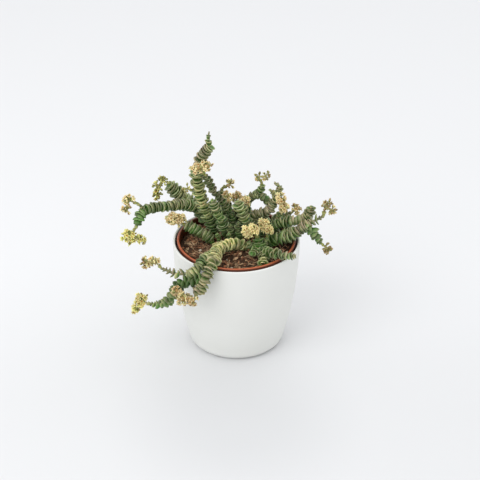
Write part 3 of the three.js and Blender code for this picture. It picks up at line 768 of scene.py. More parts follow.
leaf = {
    "seed": 5,
    "columns": 18,
    # from the underside's middle to the top's: reach against the radius, level against the pitch,
    # paleness
    "profile": ((0, -0.85, 0), (0.5, -0.8, 0), (0.82, -0.5, 0), (0.94, -0.14, 0),
                (0.985, 0.14, 0.15), (1, 0.32, 0.8), (0.95, 0.42, 0.95), (0.7, 0.2, 0.05),
                (0, -0.05, 0)),
    "tip": 1.15,
    "point": 1.35,  # sharpness of the two tips
    "notch": 0.12,  # dent where the two leaves of a pair meet,
    "notchWidth": 0.28,  # as a cosine
    "crease": 0.5,  # and the furrow between them on top, against the pitch
    "creaseWidth": 0.2,
    "tipRise": 0.3,  # rise of the two tips
    "pitch": 2.5,
    "flank": 0.7,
    "wobble": 10,  # degrees a pair turns from its place
    "tilt": 7,
    "leafSpread": 0.04,  # how much single leaves differ in reach,
    "riseSpread": 0.13,  # in the rise of their tips,
    "sizeSpread": 0.06,  # pairs in size
    "lookSpread": 0.18,  # and in colour
    "brightness": (0.28, 0.9),  # of single leaves
    "facing": (0.5, 0.8),  # how much a level side faces up, and what its direction adds to that
    # of yellow, purple and green, on what faces down and more on what faces up
    "weights": ((0.6, 0.5), (0.25, 0.9), (1.1, -0.5)),
    "paintedGrooveShade": 2.2,  # painted shade in the grooves between pairs: deeper green towards the stalk
    "paleness": (0.1, 1),  # of single edges
    "seat": 0.55,  # of its step, that a pair lies below the step's end
    "growing": (0.5, 0.76, 0.92),  # sizes of the first pairs over the mix
    "tapering": (0.98, 0.9, 0.74, 0.46),  # and of the last ones
    "crowding": (0.95, 0.85, 0.7, 0.5),  # the last steps, against the others
    "core": 0.3,  # radius of the stalk between the pairs, against the stem's
    "stalk": 2.2,  # its radius in the mix
    "stalkStep": 4,  # between its rings
    "stalkRings": 4,  # and the least number of them
    "stalkEnd": 0.3,  # how far before the route's end it ends, in steps of the pairs
    "stalkNarrows": (1, 6),  # between these distances past its bare part
    "stalkTone": (0.2, 0.5, 0.2, 0),
    "stalkShade": 0.4,
    "stalkFoot": 95,  # level where it starts in the mix,
    "upright": 109,  # up to which it stands upright,
    "clear": 109.5,  # and from which it bears leaves
    "material": {
        "roughness": 0.5,
        "subsurface": 0.08,
        "depth": 1.5,
        "broadScale": 130,
        "fineScale": 700,
        "base": (0.20, 0.25, 0.105),
        "fleck": (0.27, 0.30, 0.15),
        "fleckWeight": 0.5,
        # yellow-tan, purple-brown, deep green and the pale edge
        "tints": ((0.76, 0.66, 0.30), (0.34, 0.225, 0.175), (0.035, 0.135, 0.01),
                  (0.45, 0.46, 0.30)),
        "breaks": ((0.45, 1), (0.5, 1), (0.7, 1), (0.4, 1)),
        "shades": (0.42, 1.54),
        "grain": 0.10,
    },
}

# Routes of the stems, in millimetres, with the radius at both ends of each. The first stem of a
# plant has a root in the mix and the others branch from it. look is (yellow, purple, green), and
# dim the leaves' painted brightness: painted shade below 1, as at the foot of stems inside the
# clump, and painted light above 1, both at even steps along the stem. edge is how pale their edges
# are. pitch, flank, thickness and tapering take the place of the common ones.
plants = {
    "stem_tall": [
        {"root": (-20, 17), "radius": (6.3, 7.1), "tapering": (1, 1, 0.98, 0.94), "edge": 0.58,
         "dim": (0.5, 1.03, 1.06, 1.06),
         "look": ((0, 0, 0.7), (0.2, 0.1, 0.5), (0.75, 0.1, 0.35), (0.9, 0.1, 0.4),
                  (0.5, 0.2, 0.5)),
         "route": [(-23, 17, 118), (-29, 18, 133), (-33.6, 19, 146), (-37, 18, 160),
                   (-38.2, 17, 175), (-38, 16, 184)]},
        {"radius": (5.9, 5.7), "tapering": (1, 1, 0.98, 0.9), "flank": 0.88, "edge": 0.4,
         "look": ((0, 0.4, 0.4), (0, 1, 0.1), (0.1, 1, 0), (0.2, 0.3, 0.3)),
         "route": [(-39, 16, 181), (-37, 15, 189), (-32, 13, 203), (-25, 12, 213)]},
        {"radius": (3.6, 1.5), "pitch": 2.9, "flank": 0.66, "thickness": 0.6,
         "look": ((0.3, 0.2, 0.3), (0.2, 0.7, 0)),
         "route": [(-26, 12, 213), (-27, 11, 221), (-26, 11, 229)]},
        {"radius": (3.2, 3), "flank": 0.7, "look": ((0.2, 0.1, 0.5), (0.3, 0.3, 0.2)),
         "route": [(-37, 18, 159), (-41, 16, 161), (-44, 15, 162)]},
    ],
    "stem_front_upright": [
        {"root": (-10, 12), "radius": (5.7, 5.7), "dim": (0.5, 1.1, 1.1),
         "look": ((0, 0, 0.9), (0, 0, 0.4), (0.2, 0.2, 0.1)),
         "route": [(-12, 11, 120), (-15, 9, 132), (-20, 7, 144), (-24, 6, 156)]},
    ],
    "stem_slim_open": [
        {"root": (-3, 25), "radius": (4.9, 4.2), "pitch": 3.0, "flank": 0.6, "thickness": 0.7,
         "dim": (0.3, 0.8, 0.6, 0.7),
         "look": ((0, 0, 0.9), (0, 0.2, 0.4), (0, 1, 0.1), (0, 0.8, 0.3)),
         "route": [(-5, 23, 125), (-9, 21, 137), (-15.5, 18, 150), (-23.5, 14, 164), (-28, 9, 177),
                   (-30, 6, 184)]},
    ],
    "stem_slim_back": [
        {"root": (-14, 42), "radius": (4.2, 3.6), "flank": 0.8,
         "look": ((0, 0, 0.5), (0.1, 0.3, 0.1)),
         "route": [(-15, 42, 128), (-15, 41, 150)]},
        {"radius": (4.4, 3.6), "flank": 0.8, "look": ((0, 0.2, 0.3), (0.2, 0.5, 0)),
         "route": [(-14, 42, 122), (-9, 38, 130), (-6, 35, 135)]},
    ],
    "stem_middle": [
        {"root": (12, 11), "radius": (6.9, 6.2), "dim": (0.5, 1.15, 1.15),
         "look": ((0, 0, 0.9), (0.1, 0.2, 0.2), (0.35, 0.3, 0)),
         "route": [(11, 12, 122), (8, 13, 133), (4, 13, 143), (1, 13, 151)]},
    ],
    "stem_middle_back": [
        {"root": (2, 38), "radius": (4.6, 3.8), "flank": 0.85,
         "look": ((0, 0, 0.5), (0.1, 0.3, 0.1)),
         "route": [(2, 38, 122), (1, 37, 133)]},
        {"radius": (3.4, 3.2), "flank": 0.8, "look": ((0, 0.2, 0.3), (0.2, 0.4, 0)),
         "route": [(3, 37, 118), (7, 34, 125), (9, 33, 131)]},
        {"radius": (3.6, 3.2), "flank": 0.8, "dim": 0.7, "look": ((0, 0, 0.6), (0.1, 0.2, 0.3)),
         "route": [(1, 38, 117), (-4, 37, 122), (-6, 36, 128)]},
    ],
    "stem_arched_back": [
        {"root": (14, 45), "radius": (5.4, 4.8), "look": ((0, 0, 0.4), (0.05, 0.3, 0.1)),
         "route": [(11, 45, 120), (9, 43, 129), (11, 41, 136), (16, 40, 142), (21, 38, 145),
                   (26, 37, 144), (30, 38, 139), (33, 39, 133)]},
        {"radius": (4, 3.2), "flank": 0.8, "look": ((0, 0.2, 0.2), (0.3, 0.1, 0.4)),
         "route": [(20, 38, 144), (24, 36, 150), (26, 35, 155), (26, 35, 159)]},
    ],
    "stem_right_upright": [
        {"root": (14, 27), "radius": (6.8, 3.9),
         "look": ((0, 0.7, 0), (0.1, 0.8, 0), (0.2, 0.3, 0.1)),
         "route": [(14, 26, 119), (16, 25, 126), (21, 25, 130), (27, 25, 131), (32, 25, 133),
                   (36, 25, 139), (39, 25, 147), (42, 25, 154), (44, 25, 162)]},
        {"radius": (2.4, 2.8), "flank": 0.7, "look": ((0.9, 0, 0.3), (0.9, 0, 0.3)),
         "route": [(40, 25, 152), (36, 25, 155), (33, 25, 158)]},
        {"radius": (2.6, 2.8), "flank": 0.7, "look": ((0, 0.7, 0), (0.1, 0.8, 0)),
         "route": [(43, 25, 159), (41, 25, 163), (38, 25, 166)]},
    ],
    "stem_right_slim": [
        {"root": (36, 34), "radius": (6.6, 4.2), "flank": 0.85,
         "look": ((0, 0, 0.5), (0.2, 0.3, 0)),
         "route": [(41, 30, 120), (46, 25, 131)]},
        {"radius": (3.8, 3.2), "flank": 0.8, "look": ((0, 0.2, 0.3), (0.2, 0.5, 0)),
         "route": [(40, 31, 119), (49, 29, 125), (55, 26, 130)]},
    ],
    "stem_right_long": [
        {"root": (35, 13), "radius": (6.8, 5.2), "tapering": (1, 0.98, 0.9, 0.66),
         "dim": (0.5, 1, 1, 1), "flank": 0.78, "edge": 0.7,
         "look": ((0, 0, 1), (0, 0.4, 0.6), (0, 0.7, 0.3), (0.1, 0.6, 0.1)),
         "route": [(37, 14, 119), (44, 13, 126), (53, 11, 129), (63, 10, 131), (71, 9, 136),
                   (75, 9, 147)]},
    ],
    "stem_right_forked": [
        {"root": (30, -4), "radius": (6.7, 6.1), "flank": 0.76, "edge": 0.75,
         "look": ((0.1, 0, 0.9), (0, 0.3, 0.6), (0, 0.8, 0.2), (0, 0.9, 0)),
         "route": [(37, -6, 118), (50, -7, 121), (60, -7, 128), (68, -6, 133), (74, -5, 138)]},
        {"radius": (6.2, 4.4), "pitch": 3.7, "flank": 0.55, "thickness": 0.35, "dim": 0.7,
         "look": ((0.1, 0.4, 0), (0.1, 0.8, 0)),
         "route": [(73, -5, 137), (80, -4, 140), (86, -3, 143)]},
        {"radius": (5.6, 4.9), "pitch": 3.0, "flank": 0.7, "thickness": 0.75, "dim": 0.88,
         "look": ((0, 0.1, 0.5), (0, 0.3, 0.5)),
         "route": [(68, -6, 133), (74, -8, 131), (78, -10, 125), (84, -11, 117)]},
    ],
    "stem_front_clump": [
        {"root": (24, -19), "radius": (7.8, 7.4), "flank": 0.78, "edge": 0.6,
         "look": ((0, 0, 1), (0, 0, 0.9)),
         "route": [(23, -19, 117), (21, -17, 127)]},
        {"radius": (4, 3.6), "look": ((0.1, 0, 0.6), (0.1, 0, 0.5)),
         "route": [(24, -18, 113), (28, -13, 118), (30, -11, 123)]},
        {"radius": (4.8, 4.4), "edge": 0.5, "look": ((0, 0.1, 0.5), (0, 0.1, 0.4)),
         "route": [(22, -19, 115), (15, -20, 117), (12, -18, 123)]},
        {"radius": (4.2, 4.2), "edge": 0.5, "look": ((0, 0, 0.5), (0.1, 0, 0.3)),
         "route": [(22, -20, 114), (17, -27, 115), (15, -31, 117)]},
        {"radius": (5.2, 5.2), "tapering": (1, 1, 0.92, 0.7),
         "look": ((0, 0.4, 0.3), (0.9, 0, 0.2)),
         "route": [(24, -21, 114), (27, -31, 114), (26, -43, 112)]},
        {"radius": (5.2, 4.8), "pitch": 2.8, "flank": 0.66, "thickness": 0.65, "edge": 0.7,
         "look": ((0, 0, 0.5), (0, 0.3, 0.2), (0.1, 0.6, 0)),
         "route": [(25, -20, 115), (31, -31, 118), (37, -39, 122), (44, -44, 123), (51, -46, 123),
                   (58, -46, 123)]},
    ],
    "stem_front_arch": [
        {"root": (10, -11), "radius": (6.4, 6.1), "pitch": 2.4, "thickness": 1.2, "edge": 0.38,
         "tapering": (1, 1, 1, 0.96), "dim": 1.12,
         "look": ((0.5, 0, 0.2), (0.9, 0, 0), (1, 0.1, 0), (0.7, 0.5, 0.1)),
         "route": [(3, -13, 116.5), (-7, -17, 118.5), (-15, -25, 120.5), (-19, -34, 122),
                   (-20, -45, 123), (-22, -56, 124)]},
        {"radius": (7, 6.2), "pitch": 2, "flank": 0.66, "thickness": 0.7,
         "dim": (1.1, 0.98, 0.98, 0.98), "tapering": (1, 0.96, 0.84, 0.66), "edge": 0.8,
         "look": ((0.7, 0.4, 0), (0.4, 0.7, 0), (0.35, 0.8, 0), (0.3, 0.8, 0)),
         "route": [(-20.5, -50, 123.4), (-25.5, -64.5, 121), (-29.5, -70, 112), (-35, -72, 103),
                   (-37, -72, 98)]},
        {"radius": (6, 5.2), "flank": 0.86,
         "look": ((0.6, 0.1, 0.3), (0.2, 0.1, 0.5), (0.8, 0.3, 0)),
         "route": [(-20, -40, 122), (-25, -46, 123), (-30, -52, 123), (-35, -60, 121),
                   (-40, -64, 117), (-47, -63, 113)]},
        {"radius": (5.6, 4.4), "pitch": 4.2, "flank": 0.5, "thickness": 0.3,
         "look": ((0.3, 0.4, 0), (0, 1, 0)),
         "route": [(-44, -63, 115), (-54, -61, 112), (-61, -59, 112), (-67, -57, 114),
                   (-72, -55, 115)]},
        {"radius": (6.6, 4.4), "pitch": 2.6, "flank": 0.6, "thickness": 0.6,
         "dim": (0.6, 0.6, 1, 1),
         "look": ((0, 0, 0.9), (0, 0, 0.9), (0, 0.3, 0.3), (0, 0.2, 0.3), (0.1, 0, 0.4)),
         "route": [(-31, -70, 111), (-39, -68, 109), (-46, -66, 107), (-53, -64, 103),
                   (-58, -61, 95), (-63, -57, 83), (-70, -52, 73), (-77, -49, 69), (-85, -47, 68)]},
    ],
    "stem_left_low": [
        {"root": (-24, 2), "radius": (6.3, 6), "tapering": (1, 0.98, 0.92, 0.8), "flank": 0.86,
         "pitch": 2.4, "edge": 0.7, "dim": 1.12, "look": ((0, 0.5, 0.8), (0, 0.7, 0.7)),
         "route": [(-28, 3, 116), (-35, 5, 119), (-43, 7, 123), (-51, 9, 126)]},
    ],
    "stem_left_forked": [
        {"root": (-27, 40), "radius": (6, 5.4), "flank": 0.84, "edge": 0.6, "dim": 1.1,
         "look": ((0, 0.3, 0.7), (0.15, 0.6, 0.4), (0.1, 0.5, 0.5), (0, 0.4, 0.6), (0, 0, 1)),
         "route": [(-33, 38, 119), (-41, 34, 131), (-51, 28, 139), (-67, 18, 143), (-84, 8, 146),
                   (-92, 2, 146), (-96, -3, 141), (-98, -5, 134)]},
        {"radius": (6.8, 6.6), "tapering": (1, 1, 0.94, 0.78), "flank": 0.82, "edge": 0.8,
         "look": ((0.1, 0.3, 0.3), (0.2, 0.2, 0)),
         "route": [(-37, 36, 127), (-46, 38, 136), (-54, 39, 141.5), (-62, 38, 149),
                   (-68, 37, 157)]},
        {"radius": (3, 2.8), "flank": 0.8, "look": ((0, 0.2, 0.3), (0.2, 0.5, 0)),
         "route": [(-90, 3, 146), (-93, 1, 150), (-95, 0, 154)]},
    ],
    "shoot_middle_hidden": [
        {"root": (5, 27), "radius": (4.2, 4.2), "dim": 0.5, "look": ((0, 0, 1), (0, 0, 0.8)),
         "route": [(5, 27, 120), (3, 27, 131), (1, 27, 139)]},
    ],
    "shoot_right_inner": [
        {"root": (24, 10), "radius": (4.6, 4.4), "dim": 0.5, "look": ((0, 0, 1), (0, 0, 0.9)),
         "route": [(26, 8, 119), (27, 6, 129)]},
    ],
    "shoot_middle_left": [
        {"root": (-1, 14), "radius": (4.6, 4), "dim": 0.4, "look": ((0, 0, 1), (0, 0, 0.9)),
         "route": [(-1, 14, 118), (-3, 14, 126), (-5, 15, 137)]},
        {"radius": (3, 3), "flank": 0.8, "look": ((0, 0.3, 0.4), (0, 0.8, 0)),
         "route": [(-1, 13, 117), (1, 9, 124), (2, 7, 130)]},
    ],
    "shoot_middle_front": [
        {"root": (-4, 2), "radius": (3.6, 3), "flank": 0.85, "dim": 0.5,
         "look": ((0, 0, 1), (0.4, 0.1, 0.6)),
         "route": [(-5, 3, 117), (-6, 3, 124), (-6, 3, 130)]},
        {"radius": (2.8, 2.8), "flank": 0.8, "look": ((0.2, 0, 0.7), (0.3, 0, 0.7)),
         "route": [(-5, 2, 114), (-7, -1, 119), (-8, -3, 123)]},
    ],
    "shoot_middle_low": [
        {"root": (4, 0), "radius": (4, 3.6), "flank": 0.85, "dim": 0.5,
         "look": ((0, 0, 1), (0.2, 0, 0.8)),
         "route": [(3, 1, 117), (2, 2, 126)]},
    ],
    "shoot_left_low": [
        {"root": (-17, 3), "radius": (3.6, 3.4), "flank": 0.85,
         "look": ((0, 0, 0.9), (0.5, 0, 0.6)),
         "route": [(-18, 2, 116), (-20, 0, 120)]},
    ],
    "shoot_back_right": [
        {"root": (25, 38), "radius": (6.2, 5.8), "look": ((0, 0, 0.7), (0, 0.2, 0.4)),
         "route": [(27, 38, 116), (31, 37, 122)]},
    ],
    "shoot_right_low": [
        {"root": (42, 4), "radius": (3.6, 3.2), "flank": 0.85, "look": ((0, 0, 0.8), (0, 0.3, 0.3)),
         "route": [(44, 4, 117), (50, 4, 122), (56, 3, 125)]},
    ],
}


# Leaf pairs on stations: each is a shallow bowl with a thick wall, and sits in the bowl below it.
# Its reach in a direction is flank, growing towards the two tips by 1 less a power of the sine, and
# less a dent where the leaves meet. The tips rise with the square of the cosine and of the reach.
def leafPairs(rng, centre, axis, across, aside, size, pitch, flank, thickness=1):
    count = len(size)
    angle = roundAngles(leaf["columns"])
    cosine = np.cos(angle)
    out, level, _ = np.array(leaf["profile"]).T
    level = level * thickness
    reach = flank + (leaf["tip"] - flank) * (1 - np.abs(np.sin(angle)) ** leaf["point"])
    reach = reach - leaf["notch"] * np.exp(-(cosine / leaf["notchWidth"]) ** 2)
    growth = 1 + rng.normal(0, leaf["leafSpread"], (count, 2))
    reach = reach * np.where(cosine > 0, growth[:, :1], growth[:, 1:])
    furrow = leaf["crease"] * np.exp(-(cosine / leaf["creaseWidth"]) ** 2)
    furrow = furrow[None] * np.clip(level, 0, 1)[:, None]
    rise = leaf["tipRise"] * cosine**2 + rng.normal(0, leaf["riseSpread"], (count, 1)) * cosine
    radial = out[None, :, None] * reach[:, None] * size[:, None, None]
    height = (level[:, None] - furrow)[None] + rise[:, None] * out[None, :, None] ** 2
    height = height * pitch[:, None, None]
    flat = ringsOn(across, aside, angle)[:, None] * radial[..., None]
    return centre[:, None, None] + flat + axis[:, None, None] * height[..., None]


# Distances of the pairs along one stem and their sizes, as in the solids but with closer pairs
def stemPlan(stem):
    stalk = []
    if "root" in stem:
        stalk = [(*stem["root"], leaf["stalkFoot"]), (*stem["root"], leaf["upright"])]
    line, along = smoothLine(stalk + stem["route"])
    bare = along[np.argmax(line[:, 2] > leaf["clear"])] if stalk else 0
    pitch = stem.get("pitch", leaf["pitch"])
    pairs = max(2, round((along[-1] - bare) / pitch))
    size = np.interp(np.arange(pairs) / (pairs - 1), (0, 1), stem["radius"])
    step = np.ones(pairs)
    if stalk:
        first = min(pairs, len(leaf["growing"]))
        size[:first] *= leaf["growing"][:first]
    last = min(pairs, len(leaf["crowding"]))
    skipped = len(leaf["crowding"]) - last
    size[pairs - last:] *= stem.get("tapering", leaf["tapering"])[skipped:]
    step[pairs - last:] *= leaf["crowding"][skipped:]
    step *= (along[-1] - bare) / step.sum()
    return line, along, bare, bare + np.cumsum(step) - leaf["seat"] * step, size, step


# Weights of the tints on a stem's leaves: yellow and purple more on what faces up, green more
# below, painted shade as deep green near the stalk in the grooves between pairs, and pale edges
def leafTone(rng, stem, grid, centre):
    count = len(grid)
    stops = np.array(stem["look"], float).T
    part = np.linspace(0, len(stops[0]) - 1, count)
    look = np.stack([np.interp(part, np.arange(len(stop)), stop) for stop in stops], -1)
    look = np.clip(look + rng.normal(0, leaf["lookSpread"], (count, 3)), 0, 1)
    outward = unit(grid - centre[:, None, None])
    level, rise = leaf["facing"]
    up = np.clip(level + rise * outward[..., 2], 0, 1)
    yellow, purple, green = [tint * (least + more * up) for tint, (least, more)
                             in zip(look.T[:, :, None, None], leaf["weights"])]
    out, _, pale = np.array(leaf["profile"]).T[:, None, :, None] * np.ones(grid.shape[:3])
    # painted shade: deep green in the grooves near the stalk
    green = green + leaf["paintedGrooveShade"] * (1 - out)
    pale = pale * rng.uniform(*leaf["paleness"], (count, 1, 1)) * stem.get("edge", 1)
    return np.stack([yellow, purple, green, pale], -1)


# Each leaf of a pair has its own brightness, which follows the stem's dim: painted shade where dim
# is below 1, as at the foot of stems inside the clump, and painted light where it is above 1
def leafShade(rng, stem, grid):
    count, rows, columns = grid.shape[:3]
    dim = np.atleast_1d(stem.get("dim", 1))
    dim = np.interp(np.linspace(0, 1, count), np.linspace(0, 1, len(dim)), dim)[:, None]
    leaves = rng.uniform(*leaf["brightness"], (count, 2)) * dim
    shade = np.where(np.arange(columns) < columns / 2, leaves[:, :1], leaves[:, 1:])
    return shade[:, None] * np.ones((1, rows, 1))


def addStem(piece, rng, stem):
    line, along, bare, distances, size, step = stemPlan(stem)
    count = len(size)
    centre, axis, across, aside = stationsOn(line, along, distances)
    # each pair stands across the one below it, a little turned and tilted
    wobble = np.radians(rng.normal(0, leaf["wobble"], count))
    across, aside = rolled(across, aside, (np.arange(count) * math.pi / 2 + wobble)[:, None])
    lean = np.radians(rng.normal(0, leaf["tilt"], (count, 2)))
    axis = unit(axis + across * lean[:, :1] + aside * lean[:, 1:])
    across = unit(across - axis * np.sum(across * axis, -1, keepdims=True))
    aside = np.cross(axis, across)
    size = size * rng.normal(1, leaf["sizeSpread"], count)
    flank = stem.get("flank", leaf["flank"])
    thickness = stem.get("thickness", 1)
    grid = leafPairs(rng, centre, axis, across, aside, size, step, flank, thickness)
    tone = leafTone(rng, stem, grid, centre)
    addShells(piece, grid, tone, leafShade(rng, stem, grid))
    addStalk(piece, stem, line, along, bare, leaf["stalkEnd"] * step[0])


# The stalk inside a stem, thick up to the first pair and slim from there
def addStalk(piece, stem, line, along, bare, end):
    rings = max(leaf["stalkRings"], int(along[-1] / leaf["stalkStep"]))
    places = np.linspace(0, along[-1] - end, rings)
    centre, _, across, aside = stationsOn(line, along, places)
    slim = leaf["core"] * min(stem["radius"])
    foot = leaf["stalk"] if "root" in stem else slim
    start, stop = leaf["stalkNarrows"]
    thick = np.interp(places, (0, bare + start, bare + stop), (foot, foot, slim))
    stalk = tube(centre, across, aside, thick)
    addShells(piece, stalk, leaf["stalkTone"], leaf["stalkShade"])


def buildPlants():
    skin = tonedMaterial("waxy leaf", leaf["material"])
    for number, (node, stems) in enumerate(plants.items()):
        rng = np.random.default_rng((leaf["seed"], number))
        piece = newPiece()
        for stem in stems:
            addStem(piece, rng, stem)
        finishPiece(piece, node + "_leaves", skin, node)
    print("leafy stems:", len(plants))


# Flower heads

flower = {
    "seed": 23,
    "size": 2.8,  # half width of an open flower
    "sizes": (0.85, 1.12),  # of single flowers, against that
    "petals": 5,
    "star": (1.0, 0.84, 0.42, 0.84),  # reach over one petal, from its middle to the next one's
    "keel": (0.05, 0, -0.02, 0),  # and how far it stands up there
    "droop": 0.55,  # how much the petals bend down again at their tips
    "rows": (  # reach of the round part, share of the star, level, lift with the star, petal
        (0, 0, -1.05, 0, 0), (0.2, 0, -0.95, 0, 0), (0.3, 0.02, -0.35, 0, 0.1),
        (0, 1, -0.02, 0.2, 0.9), (0, 0.97, 0.07, 0.22, 1), (0, 0.62, -0.02, 0.2, 0.6),
        (0.34, 0, -0.14, 0, 0), (0.2, 0, 0.1, 0, 0), (0, 0, 0.12, 0, 0)),
    "cup": (3, 0.8),  # how many rows are green, and how much
    "throat": (6, 0.3),  # the first golden-brown row, and how much of it the row before has
    "petalBrown": (0.35, 0.35),  # of an old flower, in all of it and more in its petals
    "age": (0, 1.2),  # of single flowers, against the head's brown
    "lemon": (0.5, 1),  # and how much of the head's lemon they have
    "shade": (0.2, 0.9),
    "bud": 1.45,  # half length of a bud
    "budSizes": (0.75, 1.2),
    "budRibs": (1.0, 0.84),
    "budRows": (  # reach, level
        (0, -0.9), (0.36, -0.75), (0.66, -0.3), (0.7, 0.15), (0.5, 0.6), (0.2, 0.88), (0, 0.96)),
    "budCup": (3, 0.75),
    "budGreen": (0.3, 1),  # how much of the head's green it has over the cup,
    "budLemon": 0.7,  # and of its lemon
    "ripe": (0.8, 1),  # how brown ripe and other buds are
    "unripe": (0, 0.4),
    "budShade": (0.1, 0.9),
    "groupArea": (27, 22),  # cluster surface for one group of florets, in a dense and a loose head
    "leastGroups": 4,
    "groupSpread": 0.12,
    "bareSide": 0.72,  # cosine from which the side towards the stem has no florets
    "members": 3,  # florets of a group
    "spread": (0.9, 2.2),  # their distance from its middle,
    "outward": 0.9,  # how much they stand outwards from it,
    "turnedAway": 0.5,  # and face away from it
    "depths": (0.5, 1.08),  # of the groups, against the cluster's half sizes
    "tilt": 0.3,
    "core": 0.55,  # the dense middle of a cluster, against its half sizes
    "coreRows": 9,
    "coreColumns": 14,
    "coreBumps": (0.8, 1.1),
    # the middle's golden-brown is partly painted shade in the gaps between florets
    "coreTone": (0, 0.3, 0.1, 0.7),
    "coreGreen": 0.5,  # how much of a head's green it has on top
    "coreShade": 0.4,
    "start": 0.35,  # how far towards the stem florets' stalks start, against the least half size
    "thread": 0.32,  # radius of a floret's stalk
    "threadEnd": 1.2,  # how far below a floret's middle it ends
    "threadTone": (0.1, 0.35, 0.75, 0),
    "threadShade": 0.4,
    "stalk": 0.95,  # radius of a head's stalk
    "stalkTone": (0.1, 0.35, 0.6, 0),
    "stalkShade": 0.45,
    "stalkRings": (1.3, 1, 0.9, 1),
    "stalkColumns": 5,
    "stalkBend": 0.6,
    "bractPitch": 2.4,
    "bract": 2.1,  # radius of a bract pair
    "bractSizes": (1.15, 0.4),  # at the stalk's foot, and how much smaller at its end
    "bractFlank": 0.62,
    "bractWobble": 0.2,
    "bractTone": (0.1, 0.3, 0.9, 0),
    "bractShade": (0.2, 0.7),
    "material": {
        "roughness": 0.6,
        "subsurface": 0.1,
        "depth": 1.0,
        "broadScale": 200,
        "fineScale": 1100,
        "base": (0.98, 0.83, 0.44),
        "fleck": (1.0, 0.93, 0.64),
        "fleckWeight": 0.7,
        # lemon, pink-brown, green and the golden-brown middle
        "tints": ((0.80, 0.80, 0.20), (0.17, 0.062, 0.028), (0.14, 0.20, 0.02), (0.33, 0.15, 0.02)),
        "breaks": ((0.7, 1), (0.8, 1), (0.7, 1), (0.9, 1)),
        "shades": (0.72, 1.3),
        "grain": 0.06,
    },
}

